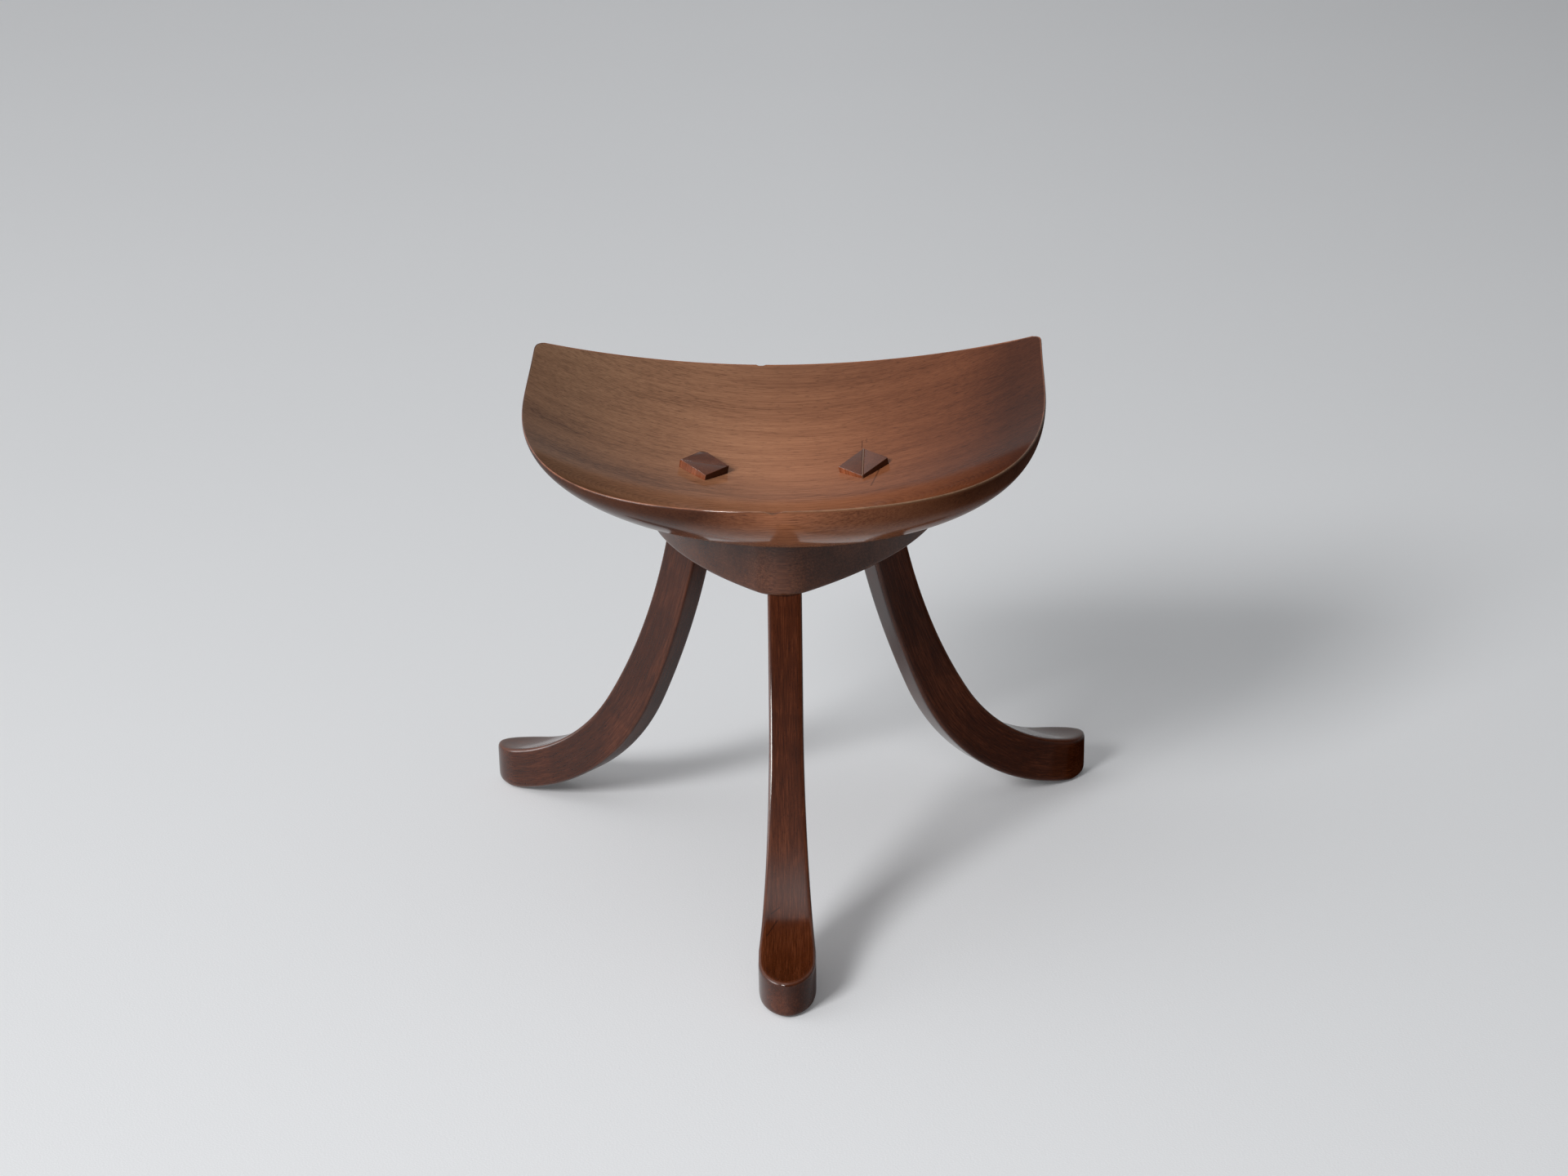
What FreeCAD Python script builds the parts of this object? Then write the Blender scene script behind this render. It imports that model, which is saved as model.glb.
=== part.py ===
import FreeCAD, Part
import math
import os

import Sketcher

# A three-legged stool: a dished seat glued to a leg block, and three swept legs whose
# tenons pass through block and seat and are spread there by wedges.
# Lengths are millimetres, angles degrees. Z is up, the feet stand on Z = 0, and the front
# leg points along -Y. The leg circle's centre is called the axis.

SIZES = (
    ("seat_half_width", 183.9, "seat, half of its greatest width"),
    ("seat_front", 168.4, "seat, middle of the front edge from the axis"),
    ("seat_widest", 64.7, "seat, how far behind the axis it is widest"),
    ("seat_corner_out", 182.0, "seat, back corner to the middle plane"),
    ("seat_corner_back", 131.5, "seat, back corner behind the axis"),
    ("seat_back_bow", 43.0, "seat, how far the back edge bows out past its corners"),
    ("seat_corner_cut", 1.2, "seat, how much of each back corner's tip is rounded away"),
    ("seat_wall", 14.0, "seat, thickness of the dished plank"),
    ("seat_under_round", 20.0, "seat, rounding of the underside towards the edge"),
    ("seat_rim_round", 1.2, "seat, rounding of the upper edge"),
    ("dish_across", 366.8, "dish, radius of the hollow from side to side"),
    ("dish_along", 344.4, "dish, radius of the hollow from front to back"),
    ("dish_forward", 4.6, "dish, how far its lowest line lies in front of the axis"),
    ("glue_line", 0.3, "gap filled by glue between the seat and the leg block"),
    ("block_depth", 23.0, "leg block, depth below the lowest line of the seat"),
    ("block_front_out", 77.0, "leg block, centre of the front corner from the axis"),
    ("block_back_out", 93.0, "leg block, centre of each back corner from the axis"),
    ("block_corner", 24.0, "leg block, radius of its three corners"),
    ("block_side", 350.0, "leg block, radius of its three bulging sides"),
    ("block_under_round", 4.0, "leg block, rounding of the lower edge"),
    ("leg_height", 230.0, "leg, floor to the shoulder under the block"),
    ("leg_root", 83.5, "leg, its centre line from the axis at the shoulder"),
    ("leg_lean", 14.6, "leg, lean of the tenon from upright"),
    ("leg_neck", 10.5, "leg, straight length below the shoulder"),
    ("leg_deep", 25.0, "leg, thickness of the neck seen from the side"),
    ("leg_wide", 22.0, "leg, width across the tenon"),
    ("leg_flare", 1400.0, "leg, radius of the flare towards the foot in plan"),
    ("back_leg_angle", 38.0, "back legs, direction measured from the X axis"),
    ("foot_reach", 276.0, "foot, its tip from the axis"),
    ("foot_tall", 25.5, "foot, height of its tip"),
    ("foot_deep", 27.0, "foot, thickness between the sweeps above and below"),
    ("foot_wide", 37.4, "foot, width of its round end"),
    ("foot_sweep", 137.0, "foot, radius of the sweep on the upper side"),
    ("tenon_deep", 23.0, "tenon, thickness between the shoulders"),
    ("tenon_proud", 3.2, "tenon, how far it stands above the dish"),
    ("tenon_play", 0.2, "mortise, play on each side of the tenon"),
    ("wedge_low", 20.0, "wedge, its thin end above the shoulder"),
    ("wedge_thin", 0.8, "wedge, thickness at its thin end"),
    ("wedge_thick", 2.6, "wedge, thickness at its thick end before trimming"),
    ("stock_spare", 40.0, "length left on pieces before they are trimmed"),
)

LEGS = ("front", "left", "right")
FRONT_ANGLE = 270.0
QUARTER_TURN = 90.0
FULL_TURN = 360.0
START, END, CENTRE = 1, 2, 3
X_AXIS, Y_AXIS = -1, -2
ORIGIN = (X_AXIS, START)
TINY = 0.001

# Heights that several pieces share, written as formulas of the sheet.
DISH_FLOOR = "(Sizes.leg_height + Sizes.block_depth + Sizes.seat_wall)"
DISH_CENTRE = "(" + DISH_FLOOR + " + Sizes.dish_along)"
TENON_STOCK = "(Sizes.block_depth + Sizes.seat_wall + Sizes.stock_spare)"

doc = FreeCAD.newDocument("ThebesStool")
sheet = doc.addObject("Spreadsheet::Sheet", "Sizes")
for row, (name, number, meaning) in enumerate(SIZES, start=1):
    sheet.set("A%d" % row, name)
    sheet.set("B%d" % row, str(number))
    sheet.set("C%d" % row, meaning)
    sheet.setAlias("B%d" % row, name)
doc.recompute()


def size(name):
    """Read one driving size from the sheet."""
    return float(sheet.get(name))


def point(across, up):
    """A point of a sketch."""
    return FreeCAD.Vector(across, up, 0)


def new_sketch(body, name, role):
    """Add a sketch on one of the body's own origin planes."""
    sketch = body.newObject("Sketcher::SketchObject", name)
    plane = next(item for item in body.Origin.OriginFeatures if item.Role == role)
    sketch.AttachmentSupport = [(plane, "")]
    sketch.MapMode = "FlatFace"
    return sketch


def bind(sketch, name, formula, *constraint):
    """Add a dimension to a sketch and tie it to the sheet by a formula."""
    index = sketch.addConstraint(Sketcher.Constraint(*constraint))
    sketch.renameConstraint(index, name)
    sketch.setExpression("Constraints." + name, formula)


def relate(sketch, *relations):
    """Add constraints that carry no size."""
    for relation in relations:
        sketch.addConstraint(Sketcher.Constraint(*relation))


def arc(centre, start, end, clockwise):
    """An arc of a sketch that runs from start to end about a centre."""
    angles = [math.atan2(spot.y - centre.y, spot.x - centre.x) for spot in (start, end)]
    if clockwise:
        angles.reverse()
    circle = Part.Circle(centre, FreeCAD.Vector(0, 0, 1), (start - centre).Length)
    return Part.ArcOfCircle(circle, *angles)


def extrude(body, name, sketch, formula, sides="One side"):
    """Pad a sketch by a length that is a formula of the sheet."""
    pad = body.newObject("PartDesign::Pad", name)
    pad.Profile = sketch
    pad.SideType = sides
    pad.setExpression("Length", formula)
    return pad


def boolean(kind, name, base, tool):
    """Combine two objects into a new one."""
    result = doc.addObject("Part::" + kind, name)
    result.Base = base
    result.Tool = tool
    return result


def leg_angle(leg):
    """Direction of a leg about the axis."""
    sides = {"front": FRONT_ANGLE, "right": size("back_leg_angle")}
    return sides.get(leg, FULL_TURN / 2 - size("back_leg_angle"))


def barrel(name, inset):
    """Body that fills the dish, kept short of its surface by an inset (a formula)."""
    body = doc.addObject("PartDesign::Body", name)
    sketch = new_sketch(body, name + "_profile", "XZ_Plane")
    sketch.setExpression("AttachmentOffset.Base.z", "Sizes.dish_forward")
    half = size("seat_half_width") + size("stock_spare")
    axis_height = size("leg_height") + size("block_depth") + size("seat_wall") + size("dish_along")
    radius = size("dish_across")
    middle = point(0, axis_height - size("dish_along") + radius)
    edge = middle.y - math.sqrt(radius ** 2 - half ** 2)
    corners = [point(-half, axis_height), point(-half, edge)]
    corners += [point(half, edge), point(half, axis_height)]
    axis, left, hollow, right = range(4)
    sketch.addGeometry(Part.LineSegment(corners[3], corners[0]))
    sketch.addGeometry(Part.LineSegment(corners[0], corners[1]))
    sketch.addGeometry(arc(middle, corners[1], corners[2], False))
    sketch.addGeometry(Part.LineSegment(corners[2], corners[3]))
    relate(
        sketch,
        ("Coincident", axis, END, left, START),
        ("Coincident", left, END, hollow, START),
        ("Coincident", hollow, END, right, START),
        ("Coincident", right, END, axis, START),
        ("Vertical", left),
        ("Vertical", right),
        ("Symmetric", axis, START, axis, END, Y_AXIS),
        ("PointOnObject", hollow, CENTRE, Y_AXIS),
    )
    length = "2 * (Sizes.seat_half_width + Sizes.stock_spare)"
    bind(sketch, "length", length, "DistanceX", axis, END, axis, START, 2 * half)
    bind(sketch, "height", DISH_CENTRE, "DistanceY", *ORIGIN, axis, START, axis_height)
    bind(sketch, "radius", "Sizes.dish_across - " + inset, "Radius", hollow, radius)
    centre = DISH_FLOOR + " + Sizes.dish_across"
    bind(sketch, "centre", centre, "DistanceY", *ORIGIN, hollow, CENTRE, middle.y)
    turn = body.newObject("PartDesign::Revolution", name + "_turn")
    turn.Profile = sketch
    turn.ReferenceAxis = (sketch, ["Edge%d" % (axis + 1)])
    turn.Angle = FULL_TURN
    return body


def seat_outline():
    """Body that stands on the seat's outline: bowed back, two sides and a rounded front."""
    body = doc.addObject("PartDesign::Body", "seat_outline")
    sketch = new_sketch(body, "seat_plan", "XY_Plane")
    half, widest = size("seat_half_width"), size("seat_widest")
    corner_out, corner_back = size("seat_corner_out"), size("seat_corner_back")
    bow, length = size("seat_back_bow"), size("seat_front") + size("seat_widest")
    bow_radius = (corner_out ** 2 + bow ** 2) / (2 * bow)
    taper = half - corner_out
    side_radius = (taper ** 2 + (corner_back - widest) ** 2) / (2 * taper)
    left_corner, right_corner = point(-corner_out, corner_back), point(corner_out, corner_back)
    left_wide, right_wide = point(-half, widest), point(half, widest)
    oval = Part.Ellipse(point(0, widest + length), right_wide, point(0, widest))
    quarter = math.radians(QUARTER_TURN)
    front, back, left, right = range(4)
    sketch.addGeometry(Part.ArcOfEllipse(oval, quarter, 3 * quarter))
    sketch.addGeometry(arc(point(0, corner_back + bow - bow_radius), right_corner, left_corner, False))
    sketch.addGeometry(arc(point(side_radius - half, widest), left_corner, left_wide, False))
    sketch.addGeometry(arc(point(half - side_radius, widest), right_wide, right_corner, False))
    sketch.exposeInternalGeometry(front)
    long_axis, short_axis = right + 1, right + 2
    relate(
        sketch,
        ("Coincident", front, START, left, END),
        ("Coincident", front, END, right, START),
        ("Coincident", left, START, back, END),
        ("Coincident", right, END, back, START),
        ("PointOnObject", front, CENTRE, Y_AXIS),
        ("Vertical", long_axis),
        ("PointOnObject", front, START, short_axis),
        ("PointOnObject", front, END, short_axis),
        ("Symmetric", back, START, back, END, Y_AXIS),
        ("Horizontal", left, CENTRE, left, END),
        ("Horizontal", right, CENTRE, right, START),
    )
    length_formula = "2 * (Sizes.seat_front + Sizes.seat_widest)"
    bind(sketch, "length", length_formula, "Distance", long_axis, 2 * length)
    bind(sketch, "width", "2 * Sizes.seat_half_width", "Distance", short_axis, 2 * half)
    bind(sketch, "widest", "Sizes.seat_widest", "DistanceY", *ORIGIN, front, CENTRE, widest)
    corner = (*ORIGIN, back, START)
    bind(sketch, "corner_out", "Sizes.seat_corner_out", "DistanceX", *corner, corner_out)
    bind(sketch, "corner_back", "Sizes.seat_corner_back", "DistanceY", *corner, corner_back)
    bow_formula = "(Sizes.seat_corner_out ^ 2 + Sizes.seat_back_bow ^ 2) / (2 * Sizes.seat_back_bow)"
    bind(sketch, "bow", bow_formula, "Radius", back, bow_radius)
    extrude(body, "seat_prism", sketch, DISH_CENTRE)
    return body


def corner_turning():
    """Cylinder about the axis that takes the tips off the seat's back corners."""
    cylinder = doc.addObject("Part::Cylinder", "seat_corner_turning")
    corner = "sqrt(Sizes.seat_corner_out ^ 2 + Sizes.seat_corner_back ^ 2)"
    cylinder.setExpression("Radius", corner + " - Sizes.seat_corner_cut")
    cylinder.setExpression("Height", DISH_CENTRE)
    return cylinder


def block_outline():
    """Body that stands on the leg block's outline, a triangle with three round corners."""
    body = doc.addObject("PartDesign::Body", "block_outline")
    sketch = new_sketch(body, "block_plan", "XY_Plane")
    sketch.setExpression("AttachmentOffset.Base.z", "Sizes.leg_height")
    radius = size("block_corner")
    outs = {"front": "block_front_out", "right": "block_back_out", "left": "block_back_out"}
    order = ("front", "right", "left")
    centres = []
    for leg in order:
        angle = math.radians(leg_angle(leg))
        centres.append(point(math.cos(angle), math.sin(angle)) * size(outs[leg]))
    count = len(order)
    front, right, left = range(count)
    bulge = size("block_side")
    # Each side's centre is equally far from the corners that the side runs between.
    side_centres = []
    for here, after in zip(centres, centres[1:] + centres[:1]):
        chord = after - here
        inward = point(-chord.y, chord.x).normalize()
        depth = math.sqrt((bulge - radius) ** 2 - (chord.Length / 2) ** 2)
        side_centres.append((here + after) / 2 + inward * depth)
    for index, centre in enumerate(centres):
        before, after = side_centres[index - 1], side_centres[index]
        start, end = ((centre - other).normalize() * radius for other in (before, after))
        sketch.addGeometry(arc(centre, centre + start, centre + end, False))
    for index, middle in enumerate(side_centres):
        ends = (centres[index], centres[(index + 1) % count])
        start, end = ((centre - middle).normalize() * bulge for centre in ends)
        sketch.addGeometry(arc(middle, middle + start, middle + end, False))
    for index, leg in enumerate(order):
        side, following = count + index, (index + 1) % count
        relate(sketch, ("Tangent", index, END, side, START), ("Tangent", side, END, following, START))
        bind(sketch, "corner_" + leg, "Sizes.block_corner", "Radius", index, radius)
        bind(sketch, "side_" + leg, "Sizes.block_side", "Radius", side, bulge)
    relate(
        sketch,
        ("PointOnObject", front, CENTRE, Y_AXIS),
        ("Symmetric", left, CENTRE, right, CENTRE, Y_AXIS),
    )
    out = size("block_front_out")
    bind(sketch, "out_front", "Sizes.block_front_out", "DistanceY", front, CENTRE, *ORIGIN, out)
    across = "Sizes.block_back_out * cos(Sizes.back_leg_angle * 1 deg)"
    bind(sketch, "across", across, "DistanceX", *ORIGIN, right, CENTRE, centres[right].x)
    along = "Sizes.block_back_out * sin(Sizes.back_leg_angle * 1 deg)"
    bind(sketch, "along", along, "DistanceY", *ORIGIN, right, CENTRE, centres[right].y)
    pad = extrude(body, "block_prism", sketch, "Sizes.block_depth + Sizes.stock_spare")
    doc.recompute()
    lower = [
        "Edge%d" % number
        for number, edge in enumerate(pad.Shape.Edges, start=1)
        if edge.BoundBox.ZMax < size("leg_height") + TINY
    ]
    rounding = body.newObject("PartDesign::Fillet", "block_lower_edge")
    rounding.Base = (pad, lower)
    rounding.setExpression("Radius", "Sizes.block_under_round")
    return body


def leg_side():
    """Body with the leg's side view: tenon, shoulders, a neck and two sweeps down to the toe."""
    body = doc.addObject("PartDesign::Body", "leg_side")
    sketch = new_sketch(body, "leg_side_view", "XZ_Plane")
    lean = math.radians(size("leg_lean"))
    down = point(math.sin(lean), -math.cos(lean))
    outward = point(math.cos(lean), math.sin(lean))
    root = point(size("leg_root"), size("leg_height"))
    stock = size("block_depth") + size("seat_wall") + size("stock_spare")
    reach, tall = size("foot_reach"), size("foot_tall")
    deep, toe_radius = size("leg_deep"), size("foot_sweep")
    sole_radius = toe_radius + size("foot_deep")
    spare = size("stock_spare")
    tenon_half, leg_half = size("tenon_deep") / 2, deep / 2
    top = root - down * stock
    neck = root + down * size("leg_neck")
    shoulder = point(1 / math.cos(lean), 0)
    toe_top, toe_centre = point(reach, tall), point(reach, tall + toe_radius)
    neck_out, neck_in = neck + outward * leg_half, neck - outward * leg_half
    # Each upper sweep leaves the neck and meets the sweep of the foot without a kink.
    sweeps = []
    for neck_spot, foot_radius in ((neck_out, toe_radius), (neck_in, sole_radius)):
        offset = neck_spot - toe_centre
        lean_over = offset.dot(outward) + foot_radius
        upper_radius = (foot_radius ** 2 - offset.dot(offset)) / (2 * lean_over)
        centre = neck_spot + outward * upper_radius
        sweeps.append((centre, toe_centre + (toe_centre - centre).normalize() * foot_radius))
    (out_centre, toe_join), (in_centre, sole_join) = sweeps
    heel = point(reach - math.sqrt(sole_radius ** 2 - toe_centre.y ** 2), 0)

    lines = {
        "tenon_out": (root + shoulder * tenon_half, top + outward * tenon_half),
        "tenon_top": (top + outward * tenon_half, top - outward * tenon_half),
        "tenon_in": (top - outward * tenon_half, root - shoulder * tenon_half),
        "shoulder_in": (root - shoulder * tenon_half, root - shoulder * leg_half),
        "neck_in": (root - shoulder * leg_half, neck_in),
        "upper_in": (neck_in, sole_join, in_centre),
        "sole_sweep": (sole_join, heel, toe_centre),
        "sole": (heel, point(reach + spare, 0)),
        "toe": (point(reach + spare, 0), point(reach + spare, tall)),
        "toe_level": (point(reach + spare, tall), toe_top),
        "toe_sweep": (toe_top, toe_join, toe_centre),
        "upper_out": (toe_join, neck_out, out_centre),
        "neck_out": (neck_out, root + shoulder * leg_half),
        "shoulder_out": (root + shoulder * leg_half, root + shoulder * tenon_half),
    }
    number = {name: index for index, name in enumerate(lines)}
    # The sweeps turn about centres outside the leg, so the inner ones run anticlockwise.
    ends = {}
    for name, spots in lines.items():
        start, end, *centre = spots
        clockwise = name in ("toe_sweep", "upper_out")
        if centre:
            sketch.addGeometry(arc(centre[0], start, end, clockwise))
        else:
            sketch.addGeometry(Part.LineSegment(start, end))
        ends[name] = (END, START) if clockwise else (START, END)
    names = list(lines)
    smooth = ("neck_in", "upper_in", "toe_level", "toe_sweep", "upper_out")
    for here, after in zip(names, names[1:] + names[:1]):
        kind = "Tangent" if here in smooth else "Coincident"
        relate(sketch, (kind, number[here], ends[here][1], number[after], ends[after][0]))
    root_spot = sketch.addGeometry(Part.Point(root), True)
    relate(
        sketch,
        ("Horizontal", number["shoulder_in"]),
        ("Horizontal", number["shoulder_out"], END, root_spot, START),
        ("Horizontal", number["sole"]),
        ("Vertical", number["toe"]),
        ("Parallel", number["tenon_in"], number["tenon_out"]),
        ("Parallel", number["neck_in"], number["tenon_out"]),
        ("Parallel", number["neck_out"], number["tenon_out"]),
        ("Perpendicular", number["tenon_top"], number["tenon_out"]),
        ("Symmetric", number["shoulder_in"], START, number["shoulder_out"], END, root_spot, START),
        ("Symmetric", number["shoulder_in"], END, number["shoulder_out"], START, root_spot, START),
        ("Coincident", number["sole_sweep"], CENTRE, number["toe_sweep"], CENTRE),
        ("Horizontal", number["toe_level"]),
        ("PointOnObject", number["sole"], START, X_AXIS),
    )
    bind(sketch, "root_out", "Sizes.leg_root", "DistanceX", *ORIGIN, root_spot, START, root.x)
    bind(sketch, "root_up", "Sizes.leg_height", "DistanceY", *ORIGIN, root_spot, START, root.y)
    tenon_angle = math.radians(QUARTER_TURN) + lean
    bind(sketch, "lean", "(90 + Sizes.leg_lean) * 1 deg", "Angle", number["tenon_out"], tenon_angle)
    tenon_faces = (number["tenon_in"], START, number["tenon_out"])
    bind(sketch, "tenon_deep", "Sizes.tenon_deep", "Distance", *tenon_faces, 2 * tenon_half)
    neck_faces = (number["neck_in"], START, number["neck_out"])
    bind(sketch, "leg_deep", "Sizes.leg_deep", "Distance", *neck_faces, deep)
    # The neck ends at a section square to it, whose middle lies the neck's length below the root.
    section = sketch.addGeometry(Part.LineSegment(neck_in, neck_out), True)
    middle = sketch.addGeometry(Part.LineSegment(root, neck), True)
    relate(
        sketch,
        ("Coincident", section, START, number["neck_in"], END),
        ("Coincident", section, END, number["neck_out"], START),
        ("Perpendicular", section, number["tenon_out"]),
        ("Coincident", middle, START, root_spot, START),
        ("Symmetric", section, START, section, END, middle, END),
    )
    bind(sketch, "neck", "Sizes.leg_neck", "Distance", middle, size("leg_neck"))
    sole_formula = "Sizes.foot_sweep + Sizes.foot_deep"
    bind(sketch, "sole_radius", sole_formula, "Radius", number["sole_sweep"], sole_radius)
    bind(sketch, "stock", TENON_STOCK, "Distance", root_spot, START, number["tenon_top"], stock)
    bind(sketch, "reach", "Sizes.foot_reach", "DistanceX", *ORIGIN, number["toe_level"], END, reach)
    bind(sketch, "spare", "Sizes.stock_spare", "Distance", number["toe_level"], spare)
    bind(sketch, "tall", "Sizes.foot_tall", "DistanceY", number["toe"], START, number["toe"], END, tall)
    bind(sketch, "toe_radius", "Sizes.foot_sweep", "Radius", number["toe_sweep"], toe_radius)
    extrude(body, "leg_board", sketch, "Sizes.foot_wide + Sizes.stock_spare", "Symmetric")
    return body


def leg_plan():
    """Body with the leg's plan view: parallel at the tenon and flared to a round toe."""
    body = doc.addObject("PartDesign::Body", "leg_plan")
    sketch = new_sketch(body, "leg_plan_view", "XY_Plane")
    half, toe = size("leg_wide") / 2, size("foot_wide") / 2
    flare, toe_out = size("leg_flare"), size("foot_reach") - size("foot_wide") / 2
    start = toe_out - math.sqrt((flare + toe) ** 2 - (flare + half) ** 2)
    centre = point(toe_out, 0)
    sides = {}
    for side in (-1, 1):
        flare_centre = point(start, side * (half + flare))
        meeting = centre + (flare_centre - centre).normalize() * toe
        sides[side] = (flare_centre, point(start, side * half), meeting)
    (low_centre, low_start, low_end), (high_centre, high_start, high_end) = sides[-1], sides[1]
    root, low, low_flare, nose, high_flare, high = range(6)
    sketch.addGeometry(Part.LineSegment(point(0, half), point(0, -half)))
    sketch.addGeometry(Part.LineSegment(point(0, -half), low_start))
    sketch.addGeometry(arc(low_centre, low_start, low_end, True))
    sketch.addGeometry(arc(centre, low_end, high_end, False))
    sketch.addGeometry(arc(high_centre, high_end, high_start, True))
    sketch.addGeometry(Part.LineSegment(high_start, point(0, half)))
    relate(
        sketch,
        ("Coincident", root, END, low, START),
        ("Tangent", low, END, low_flare, END),
        ("Tangent", low_flare, START, nose, START),
        ("Tangent", nose, END, high_flare, END),
        ("Tangent", high_flare, START, high, START),
        ("Coincident", high, END, root, START),
        ("Horizontal", low),
        ("Symmetric", root, START, root, END, X_AXIS, START),
        ("PointOnObject", root, START, Y_AXIS),
        ("Horizontal", high),
        ("PointOnObject", nose, CENTRE, X_AXIS),
        ("Equal", low_flare, high_flare),
    )
    bind(sketch, "wide", "Sizes.leg_wide", "DistanceY", root, END, root, START, 2 * half)
    bind(sketch, "toe", "Sizes.foot_wide / 2", "Radius", nose, toe)
    bind(sketch, "flare", "Sizes.leg_flare", "Radius", low_flare, flare)
    toe_formula = "Sizes.foot_reach - Sizes.foot_wide / 2"
    bind(sketch, "toe_out", toe_formula, "DistanceX", *ORIGIN, nose, CENTRE, toe_out)
    extrude(body, "leg_slab", sketch, "Sizes.leg_height + " + TENON_STOCK)
    return body


def tenon_frame(leg):
    """Placement with its origin on the shoulder, X across the tenon and Z along it."""
    turn = FreeCAD.Rotation(FreeCAD.Vector(0, 0, 1), leg_angle(leg))
    tilt = FreeCAD.Rotation(FreeCAD.Vector(0, 1, 0), -size("leg_lean"))
    root = FreeCAD.Vector(size("leg_root"), 0, size("leg_height"))
    return FreeCAD.Placement(turn.multVec(root), turn * tilt)


def mortise(leg):
    """Box that cuts the hole for one tenon, with play on every side."""
    box = doc.addObject("Part::Box", "mortise_" + leg)
    box.setExpression("Length", "Sizes.tenon_deep + 2 * Sizes.tenon_play")
    box.setExpression("Width", "Sizes.leg_wide + 2 * Sizes.tenon_play")
    box.setExpression("Height", "Sizes.stock_spare + " + TENON_STOCK)
    corner = FreeCAD.Vector(
        -size("tenon_deep") / 2 - size("tenon_play"),
        -size("leg_wide") / 2 - size("tenon_play"),
        -size("stock_spare"),
    )
    box.Placement = tenon_frame(leg) * FreeCAD.Placement(corner, FreeCAD.Rotation())
    return box


def wedge_stock(leg):
    """Wedge set corner to corner across a tenon, before it is trimmed to the tenon."""
    stock = doc.addObject("Part::Wedge", "wedge_stock_" + leg)
    length = "(Sizes.tenon_deep + Sizes.leg_wide) / 2"
    limits = {
        "Xmin": "-" + length,
        "Xmax": length,
        "X2min": "-" + length,
        "X2max": length,
        "Ymin": "Sizes.wedge_low",
        "Ymax": TENON_STOCK,
        "Zmin": "-Sizes.wedge_thin / 2",
        "Zmax": "Sizes.wedge_thin / 2",
        "Z2min": "-Sizes.wedge_thick / 2",
        "Z2max": "Sizes.wedge_thick / 2",
    }
    for limit, formula in limits.items():
        stock.setExpression(limit, formula)
    diagonal = math.degrees(math.atan2(size("leg_wide"), size("tenon_deep")))
    across = FreeCAD.Rotation(FreeCAD.Vector(0, 0, 1), diagonal)
    upright = FreeCAD.Rotation(FreeCAD.Vector(1, 0, 0), QUARTER_TURN)
    stock.Placement = tenon_frame(leg) * FreeCAD.Placement(FreeCAD.Vector(), across * upright)
    return stock


def round_edges(name, base, chosen):
    """Round the edges of an object that a test picks; the test gives a radius or zero."""
    doc.recompute()
    rounded = doc.addObject("Part::Fillet", name)
    rounded.Base = base
    picks = [(number, chosen(edge)) for number, edge in enumerate(base.Shape.Edges, start=1)]
    rounded.Edges = [(number, radius, radius) for number, radius in picks if radius]
    return rounded


def under_radius(edge):
    """Rounding of one edge of the plank if it runs round the underside."""
    top = size("leg_height") + size("block_depth") + size("seat_wall") + size("dish_along")
    level = edge.BoundBox.YLength > TINY
    return size("seat_under_round") if level and edge.BoundBox.ZMax < top - TINY else 0


def rim_radius(edge):
    """Rounding of one seat edge if it lies on the dish."""
    spot = edge.valueAt((edge.FirstParameter + edge.LastParameter) / 2)
    floor = size("leg_height") + size("block_depth") + size("seat_wall")
    sag = size("dish_across") - math.sqrt(size("dish_across") ** 2 - spot.x ** 2)
    depth = math.hypot(spot.y + size("dish_forward"), floor + size("dish_along") - spot.z)
    on_dish = abs(depth - size("dish_along") + sag) < TINY
    return size("seat_rim_round") if on_dish else 0


dish = barrel("dish", "0")
belly = barrel("belly", "(-Sizes.seat_wall)")
block_hollow = barrel("block_hollow", "(-Sizes.seat_wall - Sizes.glue_line)")
tenon_trim = barrel("tenon_trim", "Sizes.tenon_proud")

mortises = doc.addObject("Part::MultiFuse", "mortises")
mortises.Shapes = [mortise(leg) for leg in LEGS]

plank = boolean("Common", "seat_plank", seat_outline(), belly)
bellied = round_edges("seat_bellied", plank, under_radius)
dished = boolean("Cut", "seat_dished", bellied, dish)
tipped = boolean("Common", "seat_tipped", dished, corner_turning())
eased = round_edges("seat_eased", tipped, rim_radius)
nodes = {"seat": boolean("Cut", "seat", eased, mortises)}
seated = boolean("Cut", "block_seated", block_outline(), block_hollow)
nodes["leg_block"] = boolean("Cut", "leg_block", seated, mortises)

board, slab = leg_side(), leg_plan()
for leg in LEGS:
    sawn = boolean("Common", "leg_sawn_" + leg, board, slab)
    sawn.Placement.Rotation = FreeCAD.Rotation(FreeCAD.Vector(0, 0, 1), leg_angle(leg))
    trimmed = boolean("Cut", "leg_trimmed_" + leg, sawn, tenon_trim)
    stock = wedge_stock(leg)
    nodes["leg_" + leg] = boolean("Cut", "leg_" + leg, trimmed, stock)
    nodes["wedge_" + leg] = boolean("Common", "wedge_" + leg, trimmed, stock)

# The middle of the floor outline is the origin, so the axis is moved back from it.
toe_half = size("foot_wide") / 2
back_reach = (size("foot_reach") - toe_half) * math.sin(math.radians(size("back_leg_angle"))) + toe_half
axis_back = (size("foot_reach") - back_reach) / 2
for label, node in nodes.items():
    node.Label = label
    node.Placement = FreeCAD.Placement(FreeCAD.Vector(0, axis_back, 0), FreeCAD.Rotation())
doc.recompute()

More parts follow.
